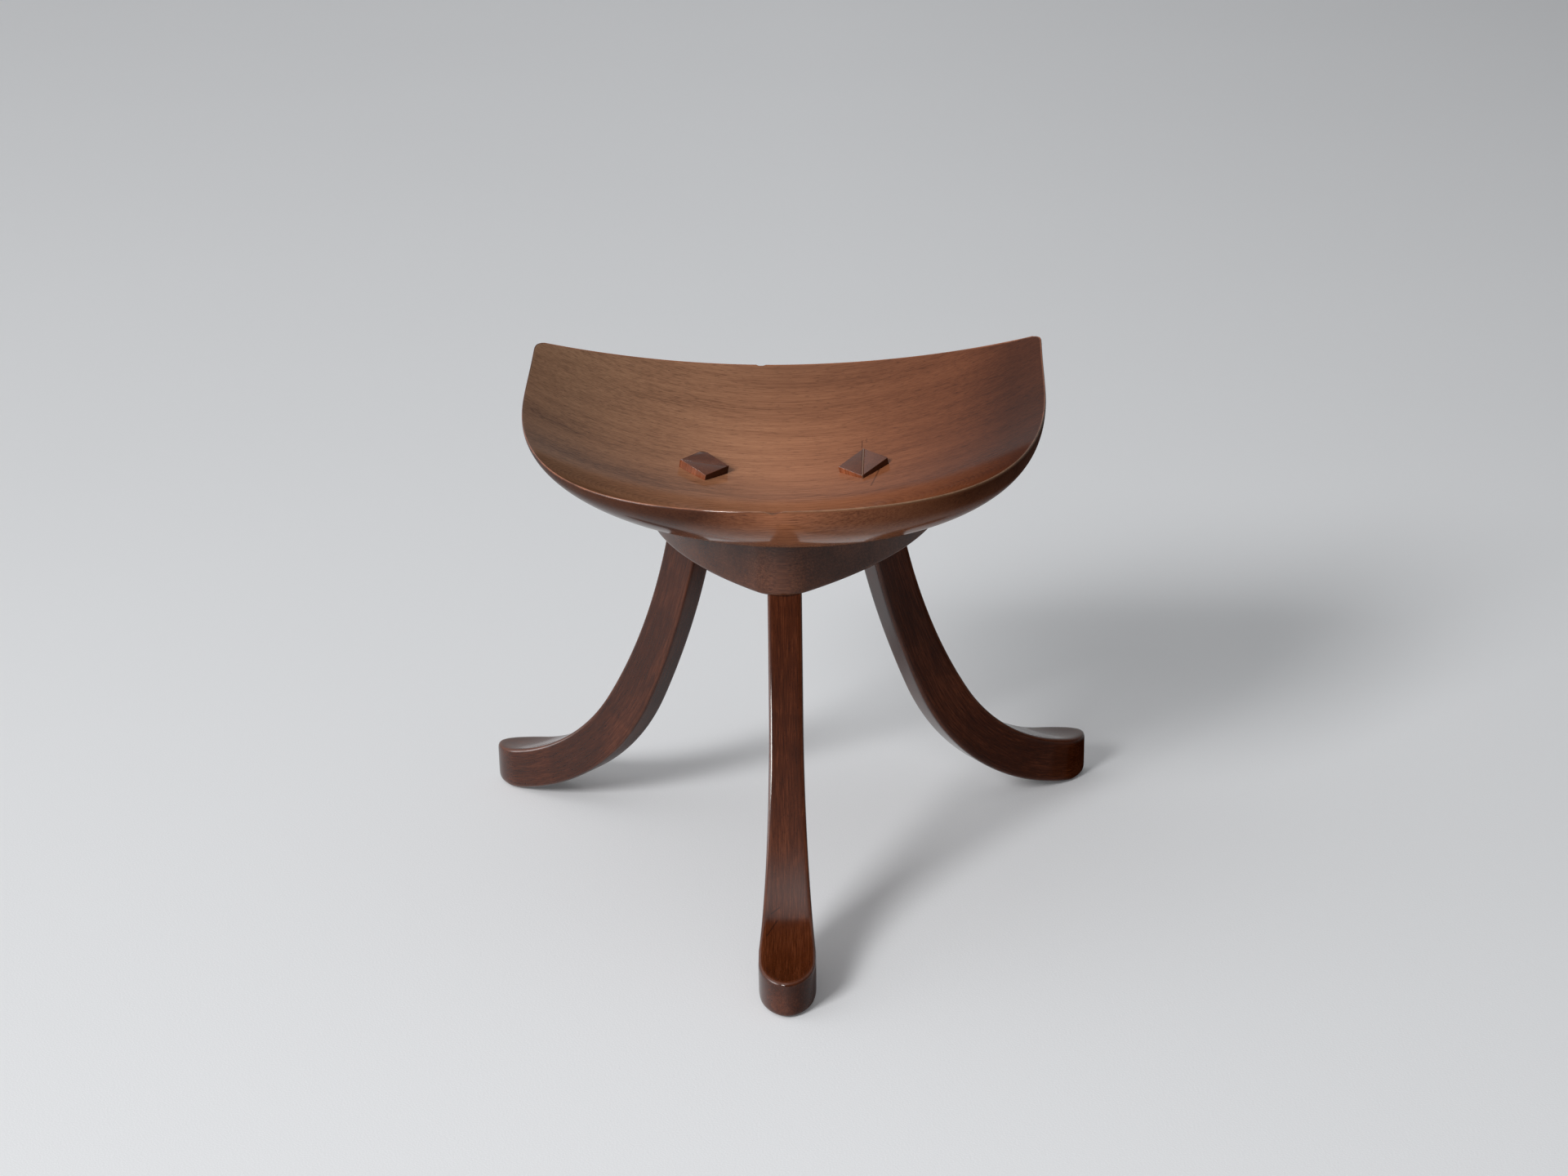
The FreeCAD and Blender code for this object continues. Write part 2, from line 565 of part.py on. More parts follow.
for item in doc.Objects:
    if "Invalid" in item.State or "Error" in item.State:
        raise RuntimeError("%s did not build: %s" % (item.Name, item.State))
os.makedirs("parts", exist_ok=True)
for label, node in nodes.items():
    if node.Shape.isNull() or not node.Shape.isValid():
        raise RuntimeError("%s has no valid shape" % label)
    node.Shape.exportStep("parts/%s.step" % label)
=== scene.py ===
"""Looks of a low three-legged stool with a dished seat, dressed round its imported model.

Each wooden piece is rebuilt with its handmade shape and a polished finish, in the place that
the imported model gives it. Lengths are metres. X runs to the right, Y to the back and Z up.
"""
from __future__ import annotations

import logging
import math
from dataclasses import dataclass, replace
from enum import Enum
from typing import Mapping, Optional, Sequence, Union

import bmesh
import bpy
from mathutils import Matrix, Vector
from mathutils.bvhtree import BVHTree


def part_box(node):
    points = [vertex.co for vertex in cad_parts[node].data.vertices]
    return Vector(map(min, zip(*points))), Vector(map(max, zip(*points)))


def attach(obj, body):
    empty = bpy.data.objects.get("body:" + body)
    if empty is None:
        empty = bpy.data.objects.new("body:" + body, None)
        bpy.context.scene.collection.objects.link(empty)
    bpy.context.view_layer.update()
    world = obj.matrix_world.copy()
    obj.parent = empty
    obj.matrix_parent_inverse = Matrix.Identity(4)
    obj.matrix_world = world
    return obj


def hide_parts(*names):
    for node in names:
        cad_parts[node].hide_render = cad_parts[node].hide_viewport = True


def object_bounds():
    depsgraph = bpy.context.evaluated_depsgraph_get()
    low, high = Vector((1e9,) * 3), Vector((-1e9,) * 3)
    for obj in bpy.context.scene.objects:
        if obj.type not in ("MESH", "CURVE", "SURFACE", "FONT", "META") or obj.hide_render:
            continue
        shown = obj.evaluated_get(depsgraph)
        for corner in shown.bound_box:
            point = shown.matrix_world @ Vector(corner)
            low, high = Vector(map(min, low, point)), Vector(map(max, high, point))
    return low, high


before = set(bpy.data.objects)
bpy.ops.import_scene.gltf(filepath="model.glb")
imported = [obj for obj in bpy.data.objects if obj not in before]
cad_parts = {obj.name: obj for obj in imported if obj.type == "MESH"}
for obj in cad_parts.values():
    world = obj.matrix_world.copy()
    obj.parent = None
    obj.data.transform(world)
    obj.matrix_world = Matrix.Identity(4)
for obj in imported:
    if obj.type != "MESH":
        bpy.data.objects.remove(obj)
PACKED_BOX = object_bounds()

LOG = logging.getLogger("stool")
BODY = "root"
UP = Vector((0.0, 0.0, 1.0))
QUARTER_TURN = math.pi / 2
FULL_TURN = math.pi * 2
SMALL_ANGLE = 1e-4
SHARP_ANGLE = math.radians(38.0)
WELD = 1e-5
MIDDLE = 0.5
# Handle length of a quarter oval as a share of its half axis
OVAL = 4 / 3 * (math.sqrt(2) - 1)
ROUND_PROFILE = 0.5
# Share of the grid that goes round the toe, and where a leg's rounded edges start to wear
NOSE_SHARE = 0.2
CORNER_WEAR = (0.80, 0.89)
WEAR = "wear"
GRAIN = "grain"
SHADER_GROUP = "ShaderNodeTree"
SHAPE_GROUP = "GeometryNodeTree"
BLACK = (0.0, 0.0, 0.0)
WHITE = (1.0, 1.0, 1.0)

Colour = tuple[float, float, float]
Span = tuple[float, float]


class Leg(Enum):
    """The three legs and their directions about the leg circle's axis, in degrees."""

    FRONT = 270.0
    LEFT = 142.0
    RIGHT = 38.0

    @property
    def node(self) -> str:
        """Name of the leg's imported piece."""
        return "leg_" + self.name.lower()

    @property
    def turn(self) -> float:
        """Direction of the leg in radians."""
        return math.radians(self.value)


class GrainSource(Enum):
    """Where a wood finish reads its place in the timber."""

    OBJECT = "the piece's own space"
    ATTRIBUTE = "the grain attribute that follows a swept piece"


class Socket(Enum):
    """Kinds of named sockets and their type names."""

    NUMBER = "NodeSocketFloat"
    COUNT = "NodeSocketInt"
    VECTOR = "NodeSocketVector"
    COLOUR = "NodeSocketColor"
    GUIDE = "NodeSocketObject"
    FINISH = "NodeSocketMaterial"
    SHAPE = "NodeSocketGeometry"


class Field:
    """A number that varies over a surface, written as arithmetic on node sockets."""

    def __init__(self, tree: Tree, socket: bpy.types.NodeSocket) -> None:
        """Keep the tree and the socket that carries the number."""
        self.tree = tree
        self.socket = socket

    def math(self, operation: str, *others: Number) -> Field:
        """Add a Math node that starts from this number.

        Args:
            operation: Blender's name of the operation.
            others: The further operands.

        Returns:
            The result of the operation.
        """
        operands = dict(enumerate((self, *others)))
        return self.tree.field("ShaderNodeMath", operands, operation=operation)

    def __add__(self, other: Number) -> Field:
        """Sum."""
        return self.math("ADD", other)

    def __sub__(self, other: Number) -> Field:
        """Difference."""
        return self.math("SUBTRACT", other)

    def __rsub__(self, other: float) -> Field:
        """Difference from a plain number."""
        return self * -1.0 + other

    def __mul__(self, other: Number) -> Field:
        """Product."""
        return self.math("MULTIPLY", other)

    def __truediv__(self, other: Number) -> Field:
        """Quotient."""
        return self.math("DIVIDE", other)

    def __pow__(self, other: Number) -> Field:
        """Power, with numbers below nought taken as nought."""
        return self.positive().math("POWER", other)

    __radd__ = __add__
    __rmul__ = __mul__

    def root(self) -> Field:
        """Square root."""
        return self.math("SQRT")

    def squared(self) -> Field:
        """The number times itself."""
        return self * self

    def size(self) -> Field:
        """Value without its sign."""
        return self.math("ABSOLUTE")

    def positive(self) -> Field:
        """Value where it is above nought, else nought."""
        return self.math("MAXIMUM", 0.0)

    def limited(self) -> Field:
        """Value kept between nought and one."""
        return self.math("MINIMUM", 1.0).positive()

    def ramp(self, span: Span) -> Field:
        """Nought where the number is at a span's start, one at its end, and kept between them."""
        start, end = span
        return ((self - start) / (end - start)).limited()

    def pick(self, yes: Field, no: Field) -> Field:
        """Take one field where this one is one and another where it is nought."""
        return yes * self + no * (1.0 - self)


Number = Union[Field, float]
Feed = Union[Field, bpy.types.NodeSocket, float, int, str, bool, Sequence[float]]
Labels = Mapping[Socket, Sequence[str]]


def socket_value(label: str, sizes: object, given: Mapping[str, object]) -> object:
    """Value for a named socket.

    Args:
        label: Name of the socket.
        sizes: What holds the sizes that sockets are named after.
        given: Values of the sockets that have no size, by name.

    Returns:
        The value that is given, or else the size that has the socket's name.
    """
    return given[label] if label in given else getattr(sizes, label.lower().replace(" ", "_"))


class Tree:
    """A node tree under construction: a shape, an effect or a material."""

    def __init__(self, tree: bpy.types.NodeTree) -> None:
        """Wrap a node tree."""
        self.tree = tree

    def feed(self, socket: bpy.types.NodeSocket, value: Feed) -> None:
        """Link a field or socket to an input, or set the input to a plain value."""
        source = value.socket if isinstance(value, Field) else value
        if isinstance(source, bpy.types.NodeSocket):
            self.tree.links.new(source, socket)
        else:
            socket.default_value = (*source, 1.0) if socket.type == "RGBA" else source

    def node(self, kind: str, feeds: Optional[Mapping] = None, **settings: object) -> bpy.types.Node:
        """Add a node.

        Args:
            kind: Blender's type name.
            feeds: Values, fields or sockets for inputs, by name or number.
            settings: Values for the node's own properties.

        Returns:
            The new node.
        """
        node = self.tree.nodes.new(kind)
        for name, setting in settings.items():
            setattr(node, name, setting)
        for slot, value in (feeds or {}).items():
            self.feed(node.inputs[slot], value)
        return node

    def field(
        self, kind: str, feeds: Optional[Mapping] = None, take: Union[int, str] = 0, **settings: object
    ) -> Field:
        """Add a node and keep one of its outputs as a field.

        Args:
            kind: Blender's type name.
            feeds: Values, fields or sockets for inputs, by name or number.
            take: Name or number of the output.
            settings: Values for the node's own properties.

        Returns:
            The chosen output.
        """
        return Field(self, self.node(kind, feeds, **settings).outputs[take])

    def split(self, vector: Field) -> tuple[Field, Field, Field]:
        """Take a vector apart into its three numbers."""
        node = self.node("ShaderNodeSeparateXYZ", {0: vector})
        return tuple(Field(self, socket) for socket in node.outputs)

    def join(self, x: Number, y: Number, z: Number) -> Field:
        """Make a vector of three numbers."""
        return self.field("ShaderNodeCombineXYZ", {0: x, 1: y, 2: z})

    def facing(self) -> tuple[Field, Field, Field]:
        """How far a shaded surface faces right, back and up."""
        return self.split(self.field("ShaderNodeTexCoord", take="Normal"))

    def spot(self) -> tuple[Field, Field, Field]:
        """Where a shaded surface is: to the right, to the back and up."""
        return self.split(self.field("ShaderNodeTexCoord", take="Object"))

    def edge_mask(self) -> Field:
        """The mask that a shaded piece carries along its edges."""
        return self.field("ShaderNodeAttribute", take="Fac", attribute_name=WEAR)

    def tint(self, share: Number, first: Feed, second: Feed, blend: str = "MIX") -> Field:
        """Blend two colours.

        Args:
            share: How much of the second colour shows.
            first: Colour without the blend.
            second: Colour blended over it.
            blend: Blender's name of the blend.

        Returns:
            The blended colour.
        """
        node = self.node("ShaderNodeMix", {0: share}, data_type="RGBA", blend_type=blend)
        inputs = [socket for socket in node.inputs if socket.type == "RGBA"]
        for socket, value in zip(inputs, (first, second)):
            self.feed(socket, value)
        return Field(self, next(socket for socket in node.outputs if socket.type == "RGBA"))

    def effect(self, group: NamedTree, sizes: object, given: Mapping[str, Feed]) -> dict[str, Field]:
        """Place a shared effect in a material.

        Args:
            group: The effect.
            sizes: What holds the sizes that the effect's inputs are named after.
            given: Values of the other inputs, by name.

        Returns:
            The effect's outputs, by name.
        """
        node = self.node("ShaderNodeGroup", node_tree=group.tree)
        for socket in node.inputs:
            self.feed(socket, socket_value(socket.name, sizes, given))
        return {socket.name: Field(self, socket) for socket in node.outputs}


def cleared(owner: Union[bpy.types.Material, bpy.types.World]) -> Tree:
    """An empty node tree for a material or the surroundings."""
    owner.use_nodes = True
    owner.node_tree.nodes.clear()
    return Tree(owner.node_tree)


def add_object(name: str, data: bpy.types.ID) -> bpy.types.Object:
    """Put a mesh, curve, light or camera in the scene."""
    thing = bpy.data.objects.new(name, data)
    bpy.context.scene.collection.objects.link(thing)
    return thing


class NamedTree(Tree):
    """A node tree with named inputs and outputs."""

    def __init__(self, name: str, kind: str, takes: Labels, gives: Labels) -> None:
        """Make the tree and its sockets.

        Args:
            name: Name of the tree.
            kind: Blender's type name of the tree.
            takes: Names of the inputs of each kind.
            gives: Names of the outputs of each kind.
        """
        super().__init__(bpy.data.node_groups.new(name, kind))
        for way, sockets in (("INPUT", takes), ("OUTPUT", gives)):
            for socket, labels in sockets.items():
                for label in labels:
                    self.tree.interface.new_socket(label, in_out=way, socket_type=socket.value)
        self.start = self.node("NodeGroupInput")
        self.end = self.node("NodeGroupOutput")

    def given(self, label: str) -> Field:
        """The value of a named input."""
        return Field(self, self.start.outputs[label])

    def give(self, label: str, value: Feed) -> None:
        """Feed a named output."""
        self.feed(self.end.inputs[label], value)


class ShapeTree(NamedTree):
    """A Geometry Nodes tree that bends a grid into a piece."""

    def __init__(self, name: str, guides: Sequence[str], sizes: Sequence[str]) -> None:
        """Make the tree with its named inputs and a grid to bend.

        Args:
            name: Name of the tree.
            guides: Names of the guide curves.
            sizes: Names of the sizes.
        """
        takes = {
            Socket.GUIDE: guides,
            Socket.NUMBER: sizes,
            Socket.COUNT: ("Columns", "Rows"),
            Socket.FINISH: ("Finish",),
        }
        super().__init__(name, SHAPE_GROUP, takes, {Socket.SHAPE: ("Geometry",)})
        feeds = {"Size X": 1.0, "Size Y": 1.0}
        feeds.update({"Vertices X": self.given("Columns"), "Vertices Y": self.given("Rows")})
        self.mesh = self.node("GeometryNodeMeshGrid", feeds).outputs["Mesh"]
        place = self.split(self.field("GeometryNodeInputPosition"))
        self.column, self.row = (number + MIDDLE for number in place[:2])

    def guide(self, label: str, share: Field) -> Field:
        """Point of a guide curve at a share of its length."""
        curve = self.field("GeometryNodeObjectInfo", {"Object": self.given(label)}, "Geometry")
        feeds = {"Curves": curve, "Factor": share}
        return self.field("GeometryNodeSampleCurve", feeds, "Position", mode="FACTOR", use_all_curves=True)

    def store(self, name: str, kind: str, value: Field) -> None:
        """Keep a value on the mesh under a name, worked out before the grid is bent."""
        feeds = {"Geometry": self.mesh, "Name": name, "Value": value}
        node = self.node("GeometryNodeStoreNamedAttribute", feeds, data_type=kind, domain="POINT")
        self.mesh = node.outputs["Geometry"]

    def finish(self, place: Field) -> None:
        """Bend the grid to its place, weld its seams and give it its material."""
        bent = self.node("GeometryNodeSetPosition", {"Geometry": self.mesh, "Position": place})
        welded = self.node("GeometryNodeMergeByDistance", {"Geometry": bent.outputs[0], "Distance": WELD})
        smooth = self.node("GeometryNodeSetShadeSmooth", {"Geometry": welded.outputs[0]})
        real = self.node("GeometryNodeRealizeInstances", {"Geometry": smooth.outputs[0]})
        feeds = {"Geometry": real.outputs[0], "Material": self.given("Finish")}
        self.give("Geometry", self.node("GeometryNodeSetMaterial", feeds).outputs[0])

    def make(self, name: str, sizes: object, given: Mapping[str, object]) -> bpy.types.Mesh:
        """Run the tree and keep its result as a plain mesh.

        Args:
            name: Name of the mesh.
            sizes: What holds the sizes that the inputs are named after.
            given: Values of the other inputs, by name.

        Returns:
            The finished mesh.
        """
        holder = add_object(name, bpy.data.meshes.new(name + "_start"))
        modifier = holder.modifiers.new(name, "NODES")
        modifier.node_group = self.tree
        for item in self.tree.interface.items_tree:
            if item.in_out == "INPUT":
                modifier[item.identifier] = socket_value(item.name, sizes, given)
        mesh = plain_mesh(holder)
        bpy.data.objects.remove(holder)
        return mesh


@dataclass(frozen=True)
class Knot:
    """A point of a guide curve with the curve's heading there.

    The handles before and after the point make circular arcs unless they are given.
    """

    spot: Vector
    heading: Vector
    before: Optional[float] = None
    after: Optional[float] = None

    def mirrored(self) -> Knot:
        """The knot on the other side of the middle plane, for a curve that runs on past it."""
        spot = Vector((-self.spot.x, self.spot.y, self.spot.z))
        heading = Vector((self.heading.x, -self.heading.y, self.heading.z))
        return Knot(spot, heading, self.after, self.before)


def arc_handle(here: Knot, there: Knot) -> float:
    """Length of the handles that make the stretch between two knots a circular arc."""
    turn = here.heading.angle(there.heading)
    chord = (there.spot - here.spot).length
    if turn < SMALL_ANGLE:
        return chord / 3
    return 4 / 3 * math.tan(turn / 4) * chord / (2 * math.sin(turn / 2))


def draw_guide(name: str, knots: Sequence[Knot], closed: bool, smoothness: int = 64) -> bpy.types.Object:
    """Draw a guide curve for a shape tree.

    Args:
        name: Name of the curve.
        knots: The curve's points in order.
        closed: Whether the curve returns to its first point.
        smoothness: Steps between two points.

    Returns:
        The curve object.
    """
    curve = bpy.data.curves.new(name, "CURVE")
    curve.dimensions = "3D"
    spline = curve.splines.new("BEZIER")
    spline.resolution_u = smoothness
    spline.use_cyclic_u = closed
    spline.bezier_points.add(len(knots) - 1)
    for index, (point, knot) in enumerate(zip(spline.bezier_points, knots)):
        last, following = knots[index - 1], knots[(index + 1) % len(knots)]
        before = knot.before if knot.before is not None else arc_handle(last, knot)
        after = knot.after if knot.after is not None else arc_handle(knot, following)
        point.handle_left_type = point.handle_right_type = "FREE"
        point.co = knot.spot
        point.handle_left = knot.spot - knot.heading * before
        point.handle_right = knot.spot + knot.heading * after
    return add_object(name, curve)


def plain_mesh(holder: bpy.types.Object) -> bpy.types.Mesh:
    """Mesh of an object with its modifiers worked in."""
    graph = bpy.context.evaluated_depsgraph_get()
    return bpy.data.meshes.new_from_object(holder.evaluated_get(graph))


def place_piece(mesh: bpy.types.Mesh, node: str) -> bpy.types.Object:
    """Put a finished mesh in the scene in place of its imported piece.

    Args:
        mesh: The finished mesh, already in its place.
        node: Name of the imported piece.

    Returns:
        The new piece.
    """
    piece = add_object(node + "_wood", mesh)
    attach(piece, BODY)
    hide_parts(node)
    LOG.info("%s stands for %s with %d faces", piece.name, node, len(mesh.polygons))
    return piece


@dataclass(frozen=True)
class Streak:
    """Soft noise in timber: how much its length counts, how fine and how rough it is."""

    stretch: float
    scale: float
    detail: float = 2.0
    roughness: float = 0.5

    def over(self, tree: Tree, place: Sequence[Field]) -> Field:
        """Noise about nought at a place given by its three numbers.

        Args:
            tree: The tree that gets the noise.
            place: Place along the grain, across it and up.

        Returns:
            The noise.
        """
        along, back, height = place
        feeds = {
            "Vector": tree.join(along * self.stretch, back, height),
            "Scale": self.scale,
            "Detail": self.detail,
            "Roughness": self.roughness,
        }
        return tree.field("ShaderNodeTexNoise", feeds, noise_dimensions="3D") - MIDDLE


class WoodFigure(NamedTree):
    """Effect that paints growth rings, fibres and pores from a place in the timber."""

    DRIFT = Streak(0.5, 11.0)
    SLOW = Streak(0.02, 380.0, 3.0, 0.65)
    FINE = Streak(0.02, 1500.0, 2.0, 0.6)
    BROAD = Streak(0.06, 48.0)
    PATCH = Streak(0.8, 7.0, 1.0)
    PORE = Streak(0.1, 1500.0, 1.0)
    SLOW_TONE, FINE_TONE, BROAD_TONE, PATCH_TONE = 0.55, 1.05, 0.7, 0.4
    SLOW_RELIEF, FINE_RELIEF, PORE_RELIEF = 0.25, 0.4, -0.5
    SLOW_DULL, PATCH_DULL, PORE_DULL = 0.05, -0.075, 0.0875
    RING_DRIFT = 3.0
    RING_RISE = 2.2
    RING_FALL = 14.0
    RING_MEAN = 0.3
    PORE_SPAN = (0.12, 0.2311)
    PORE_SHARE = 0.5
    GREEN_POWER = 1.12
    BLUE_POWER = 1.2
    TOP = (0.0, 1 / 3)

    def __init__(self) -> None:
        """Build the group."""
        rings = ("Ring Height", "Ring Back", "Ring Spacing", "Ring Strength")
        takes = {
            Socket.VECTOR: ("Place",),
            Socket.COLOUR: ("Dark", "Middle", "Light"),
            Socket.NUMBER: (*rings, "Follow", "Fibre Strength", "Shade"),
        }
        gives = {Socket.COLOUR: ("Color",), Socket.NUMBER: ("Relief", "Dullness")}
        super().__init__("wood_figure", SHADER_GROUP, takes, gives)
        along, back, height = place = self.split(self.given("Place"))
        ring_height, ring_back, ring_spacing, ring_strength = map(self.given, rings)

        reach = ((back - ring_back) ** 2.0 + (height - ring_height) ** 2.0).root()
        layer = reach / ring_spacing + self.DRIFT.over(self, place) * self.RING_DRIFT
        rise = layer.math("FRACT")
        ring = (rise ** self.RING_RISE) * (1.0 - rise ** self.RING_FALL)

        # On top the fibres change little with height, so that they follow a dish.
        lift = 1.0 - self.facing()[2].ramp(self.TOP) * self.given("Follow")
        place = along, back, height * lift
        slow, fine, broad = (streak.over(self, place) for streak in (self.SLOW, self.FINE, self.BROAD))
        patch = self.PATCH.over(self, place)
        pore = self.PORE.over(self, place).ramp(self.PORE_SPAN)
        fibre = slow * self.SLOW_TONE + fine * self.FINE_TONE + broad * self.BROAD_TONE
        tone = MIDDLE + fibre * self.given("Fibre Strength") + patch * self.PATCH_TONE
        tone = tone - (ring - self.RING_MEAN) * ring_strength
        lower = self.tint(tone.ramp((0.0, MIDDLE)), self.given("Dark"), self.given("Middle"))
        whole = self.tint(tone.ramp((MIDDLE, 1.0)), lower, self.given("Light"))
        whole = self.tint(pore * self.PORE_SHARE, whole, self.given("Dark"))
        # The shade input is painted shade and light; it darkens blue faster than red.
        shade = self.given("Shade")
        shades = self.join(shade, shade ** self.GREEN_POWER, shade ** self.BLUE_POWER)
        self.give("Color", self.tint(1.0, whole, shades, "MULTIPLY"))
        self.give("Relief", slow * self.SLOW_RELIEF + fine * self.FINE_RELIEF + pore * self.PORE_RELIEF)
        self.give("Dullness", slow * self.SLOW_DULL + patch * self.PATCH_DULL + pore * self.PORE_DULL)


class SurfaceTone(NamedTree):
    """Effect that paints shade and light onto a piece by where it is and how it faces, and tints it the same
    way.
    """

    TOP = (0.0, 1 / 3)
    PAINTED_LIGHT_TOP = (0.0, 0.5)
    UNDERSIDE = (0.45, -0.05)
    LEVEL = (1 / 3, 0.0)
    RIGHT_HALF = (0.0, 1 / 9)
    FAR_SLOPE = (0.0, -0.5)
    LEFTWARD = (0.25, -0.4)
    TIP_RISE = (0.262, 0.26867)
    TIP_SIDE = (5 / 6, 0.0)
    TIP_DIM = 0.3
    LEAN_GAIN = 1.2
    DARKEST = 0.16

    def __init__(self) -> None:
        """Build the group."""
        falls = ("End Right", "End Left", "Under", "Under Right", "Back Slope")
        rises = ("Upper", "Tip", "Rub", "Rub X", "Rub Y", "Rub Reach")
        tints = ("Right Tint", "Left Tint", "Far Tint", "Under Tint")
        takes = {Socket.NUMBER: falls + rises, Socket.COLOUR: tints}
        gives = {Socket.NUMBER: ("Shade",), Socket.COLOUR: ("Glow",)}
        super().__init__("surface_tone", SHADER_GROUP, takes, gives)
        end_right, end_left, under, under_right, back_slope = map(self.given, falls)
        upper, tip, rub, rub_x, rub_y, rub_reach = map(self.given, rises)
        right_tint, left_tint, far_tint, under_tint = map(self.given, tints)
        right, back, up = self.facing()
        x, y, z = self.spot()
        above = up.positive()
        underside = up.ramp(self.UNDERSIDE)

        # Painted shade, partly end grain: faces that turn left are darkened by End Right, faces that turn
        # right by End Left.
        ends = (right * -1.0).positive() * end_right + right.positive() * end_left
        # Painted shade on the far slope, where it faces forward and up.
        level = right.size().ramp(self.LEVEL)
        slope = (back * -1.0).positive() * above * level * back_slope
        # Painted shade on the underside, deeper on the right half.
        below = underside * (under + x.ramp(self.RIGHT_HALF) * under_right)
        # A painted pool of light on faces that look up, brightest round a spot in the middle of the seat.
        away = (x - rub_x).squared() + (y - rub_y).squared()
        spread = (away / rub_reach.squared() * -1.0).math("EXPONENT")
        painted_pool = spread * up.ramp(self.PAINTED_LIGHT_TOP) * rub
        # Painted light on the sides of the tenon tips above the seat, most on those that face left.
        leftward = right.ramp(self.LEFTWARD) * (1.0 + self.TIP_DIM) - self.TIP_DIM
        at_tip = z.ramp(self.TIP_RISE) * up.ramp(self.TIP_SIDE) * leftward * tip
        # Faces that look up get painted light from above.
        bright = 1.0 - ends - slope - below + above * upper + painted_pool + at_tip
        self.give("Shade", bright.math("MAXIMUM", self.DARKEST))

        # Painted sheen and shade tints: redder where the top faces left, greyer where it faces right, bluish
        # grey on the far slope and slightly grey underneath.
        lean = (right * self.LEAN_GAIN * up.ramp(self.TOP) + MIDDLE).limited()
        glow = self.tint(lean, right_tint, left_tint)
        glow = self.tint((back * up).ramp(self.FAR_SLOPE), glow, far_tint, "MULTIPLY")
        self.give("Glow", self.tint(underside, glow, under_tint, "MULTIPLY"))


class EdgeWear(NamedTree):
    """Effect that rubs the colour off edges where the edge mask marks them."""

    BREAKS = Streak(1.0, 55.0, 4.0, 0.7)
    MASK_GAIN = 1.6
    BREAK_GAIN = 2.2
    HOLD = 0.65
    DULLNESS = 0.08

    def __init__(self) -> None:
        """Build the group."""
        takes = {
            Socket.VECTOR: ("Place",),
            Socket.COLOUR: ("Base", "Worn"),
            Socket.NUMBER: ("Wear Amount",),
        }
        gives = {Socket.COLOUR: ("Color",), Socket.NUMBER: ("Dullness",)}
        super().__init__("edge_wear", SHADER_GROUP, takes, gives)
        breaks = self.BREAKS.over(self, self.split(self.given("Place")))
        share = (self.edge_mask() * self.MASK_GAIN + breaks * self.BREAK_GAIN - self.HOLD).limited()
        share = share * self.given("Wear Amount")
        self.give("Color", self.tint(share, self.given("Base"), self.given("Worn")))
        self.give("Dullness", share * self.DULLNESS)


class Handling(NamedTree):
    """Effect of long use: smears in the polish, small dents and specks of dirt."""

    SMEARS = Streak(1.0, 24.0, 3.0, 0.6)
    DENTS = Streak(1.0, 75.0)
    SPECKS = Streak(1.0, 420.0, 1.0)
    SPECK_SPAN = (0.24, 0.3233)
    SMEAR_DULL = 0.22
    DENT_RELIEF = 2.0
    SPECK_RELIEF = -0.6
    SPECK_DIRT = 0.5

    def __init__(self) -> None:
        """Build the group."""
        gives = {Socket.NUMBER: ("Dullness", "Relief", "Dirt")}
        super().__init__("handling", SHADER_GROUP, {Socket.VECTOR: ("Place",)}, gives)
        place = self.split(self.given("Place"))
        specks = self.SPECKS.over(self, place).ramp(self.SPECK_SPAN)
        self.give("Dullness", self.SMEARS.over(self, place) * self.SMEAR_DULL)
        self.give("Relief", self.DENTS.over(self, place) * self.DENT_RELIEF + specks * self.SPECK_RELIEF)
        self.give("Dirt", specks * self.SPECK_DIRT)


class Polish(NamedTree):
    """Effect that weighs the polish: fullest on top and dull on the stool's right side."""

    TOP = (0.0, 2 / 3)
    RIGHTWARD = (0.0, 2 / 3)
    RIGHT_HALF = (0.0, 1 / 12)
    DOWNWARD = (-0.5, -5 / 6)

    def __init__(self) -> None:
        """Build the group."""
        numbers = ("Coat", "Coat Up", "Coat Edge", "Coat Down", "Dull Right")
        super().__init__("polish", SHADER_GROUP, {Socket.NUMBER: numbers}, {Socket.NUMBER: ("Weight",)})
        coat, coat_up, coat_edge, coat_down, dull_right = map(self.given, numbers)
        right, _, up = self.facing()
        top = up.ramp(self.TOP)
        side = self.spot()[0].ramp(self.RIGHT_HALF) * MIDDLE + MIDDLE
        dull = side * right.ramp(self.RIGHTWARD) * (1.0 - top) * dull_right
        weight = coat + top * (coat_up - coat) + self.edge_mask() * coat_edge
        below = up.ramp(self.DOWNWARD) * coat_down
        self.give("Weight", (weight * (1.0 - dull) + below).math("MINIMUM", 1.0))


class ScratchMark(NamedTree):
    """Effect of one fine scratch that runs straight as seen from above."""

    TOP = (0.0, 0.25)

    def __init__(self) -> None:
        """Build the group."""
        numbers = ("Start X", "Start Y", "Run X", "Run Y", "Half Width", "Depth")
        takes = {Socket.NUMBER: numbers}
        super().__init__("scratch_mark", SHADER_GROUP, takes, {Socket.NUMBER: ("Share",)})
        x, y, _ = self.spot()
        start_x, start_y, run_x, run_y, half_width, depth = map(self.given, numbers)
        off_x, off_y = x - start_x, y - start_y
        along = ((off_x * run_x + off_y * run_y) / (run_x.squared() + run_y.squared())).limited()
        away = ((off_x - along * run_x).squared() + (off_y - along * run_y).squared()).root()
        mark = (1.0 - away / half_width).limited()
        self.give("Share", mark * self.facing()[2].ramp(self.TOP) * depth)


@dataclass(frozen=True)
class Scratch:
    """Where a scratch starts and how it runs, as seen from above, and how wide and dark it is."""

    start_x: float
    start_y: float
    run_x: float
    run_y: float
    half_width: float = 0.0007
    depth: float = 0.8


@dataclass(frozen=True)
class Effects:
    """The node groups that all wood finishes share."""

    figure: WoodFigure
    tone: SurfaceTone
    wear: EdgeWear
    handling: Handling
    polish: Polish
    scratch: ScratchMark


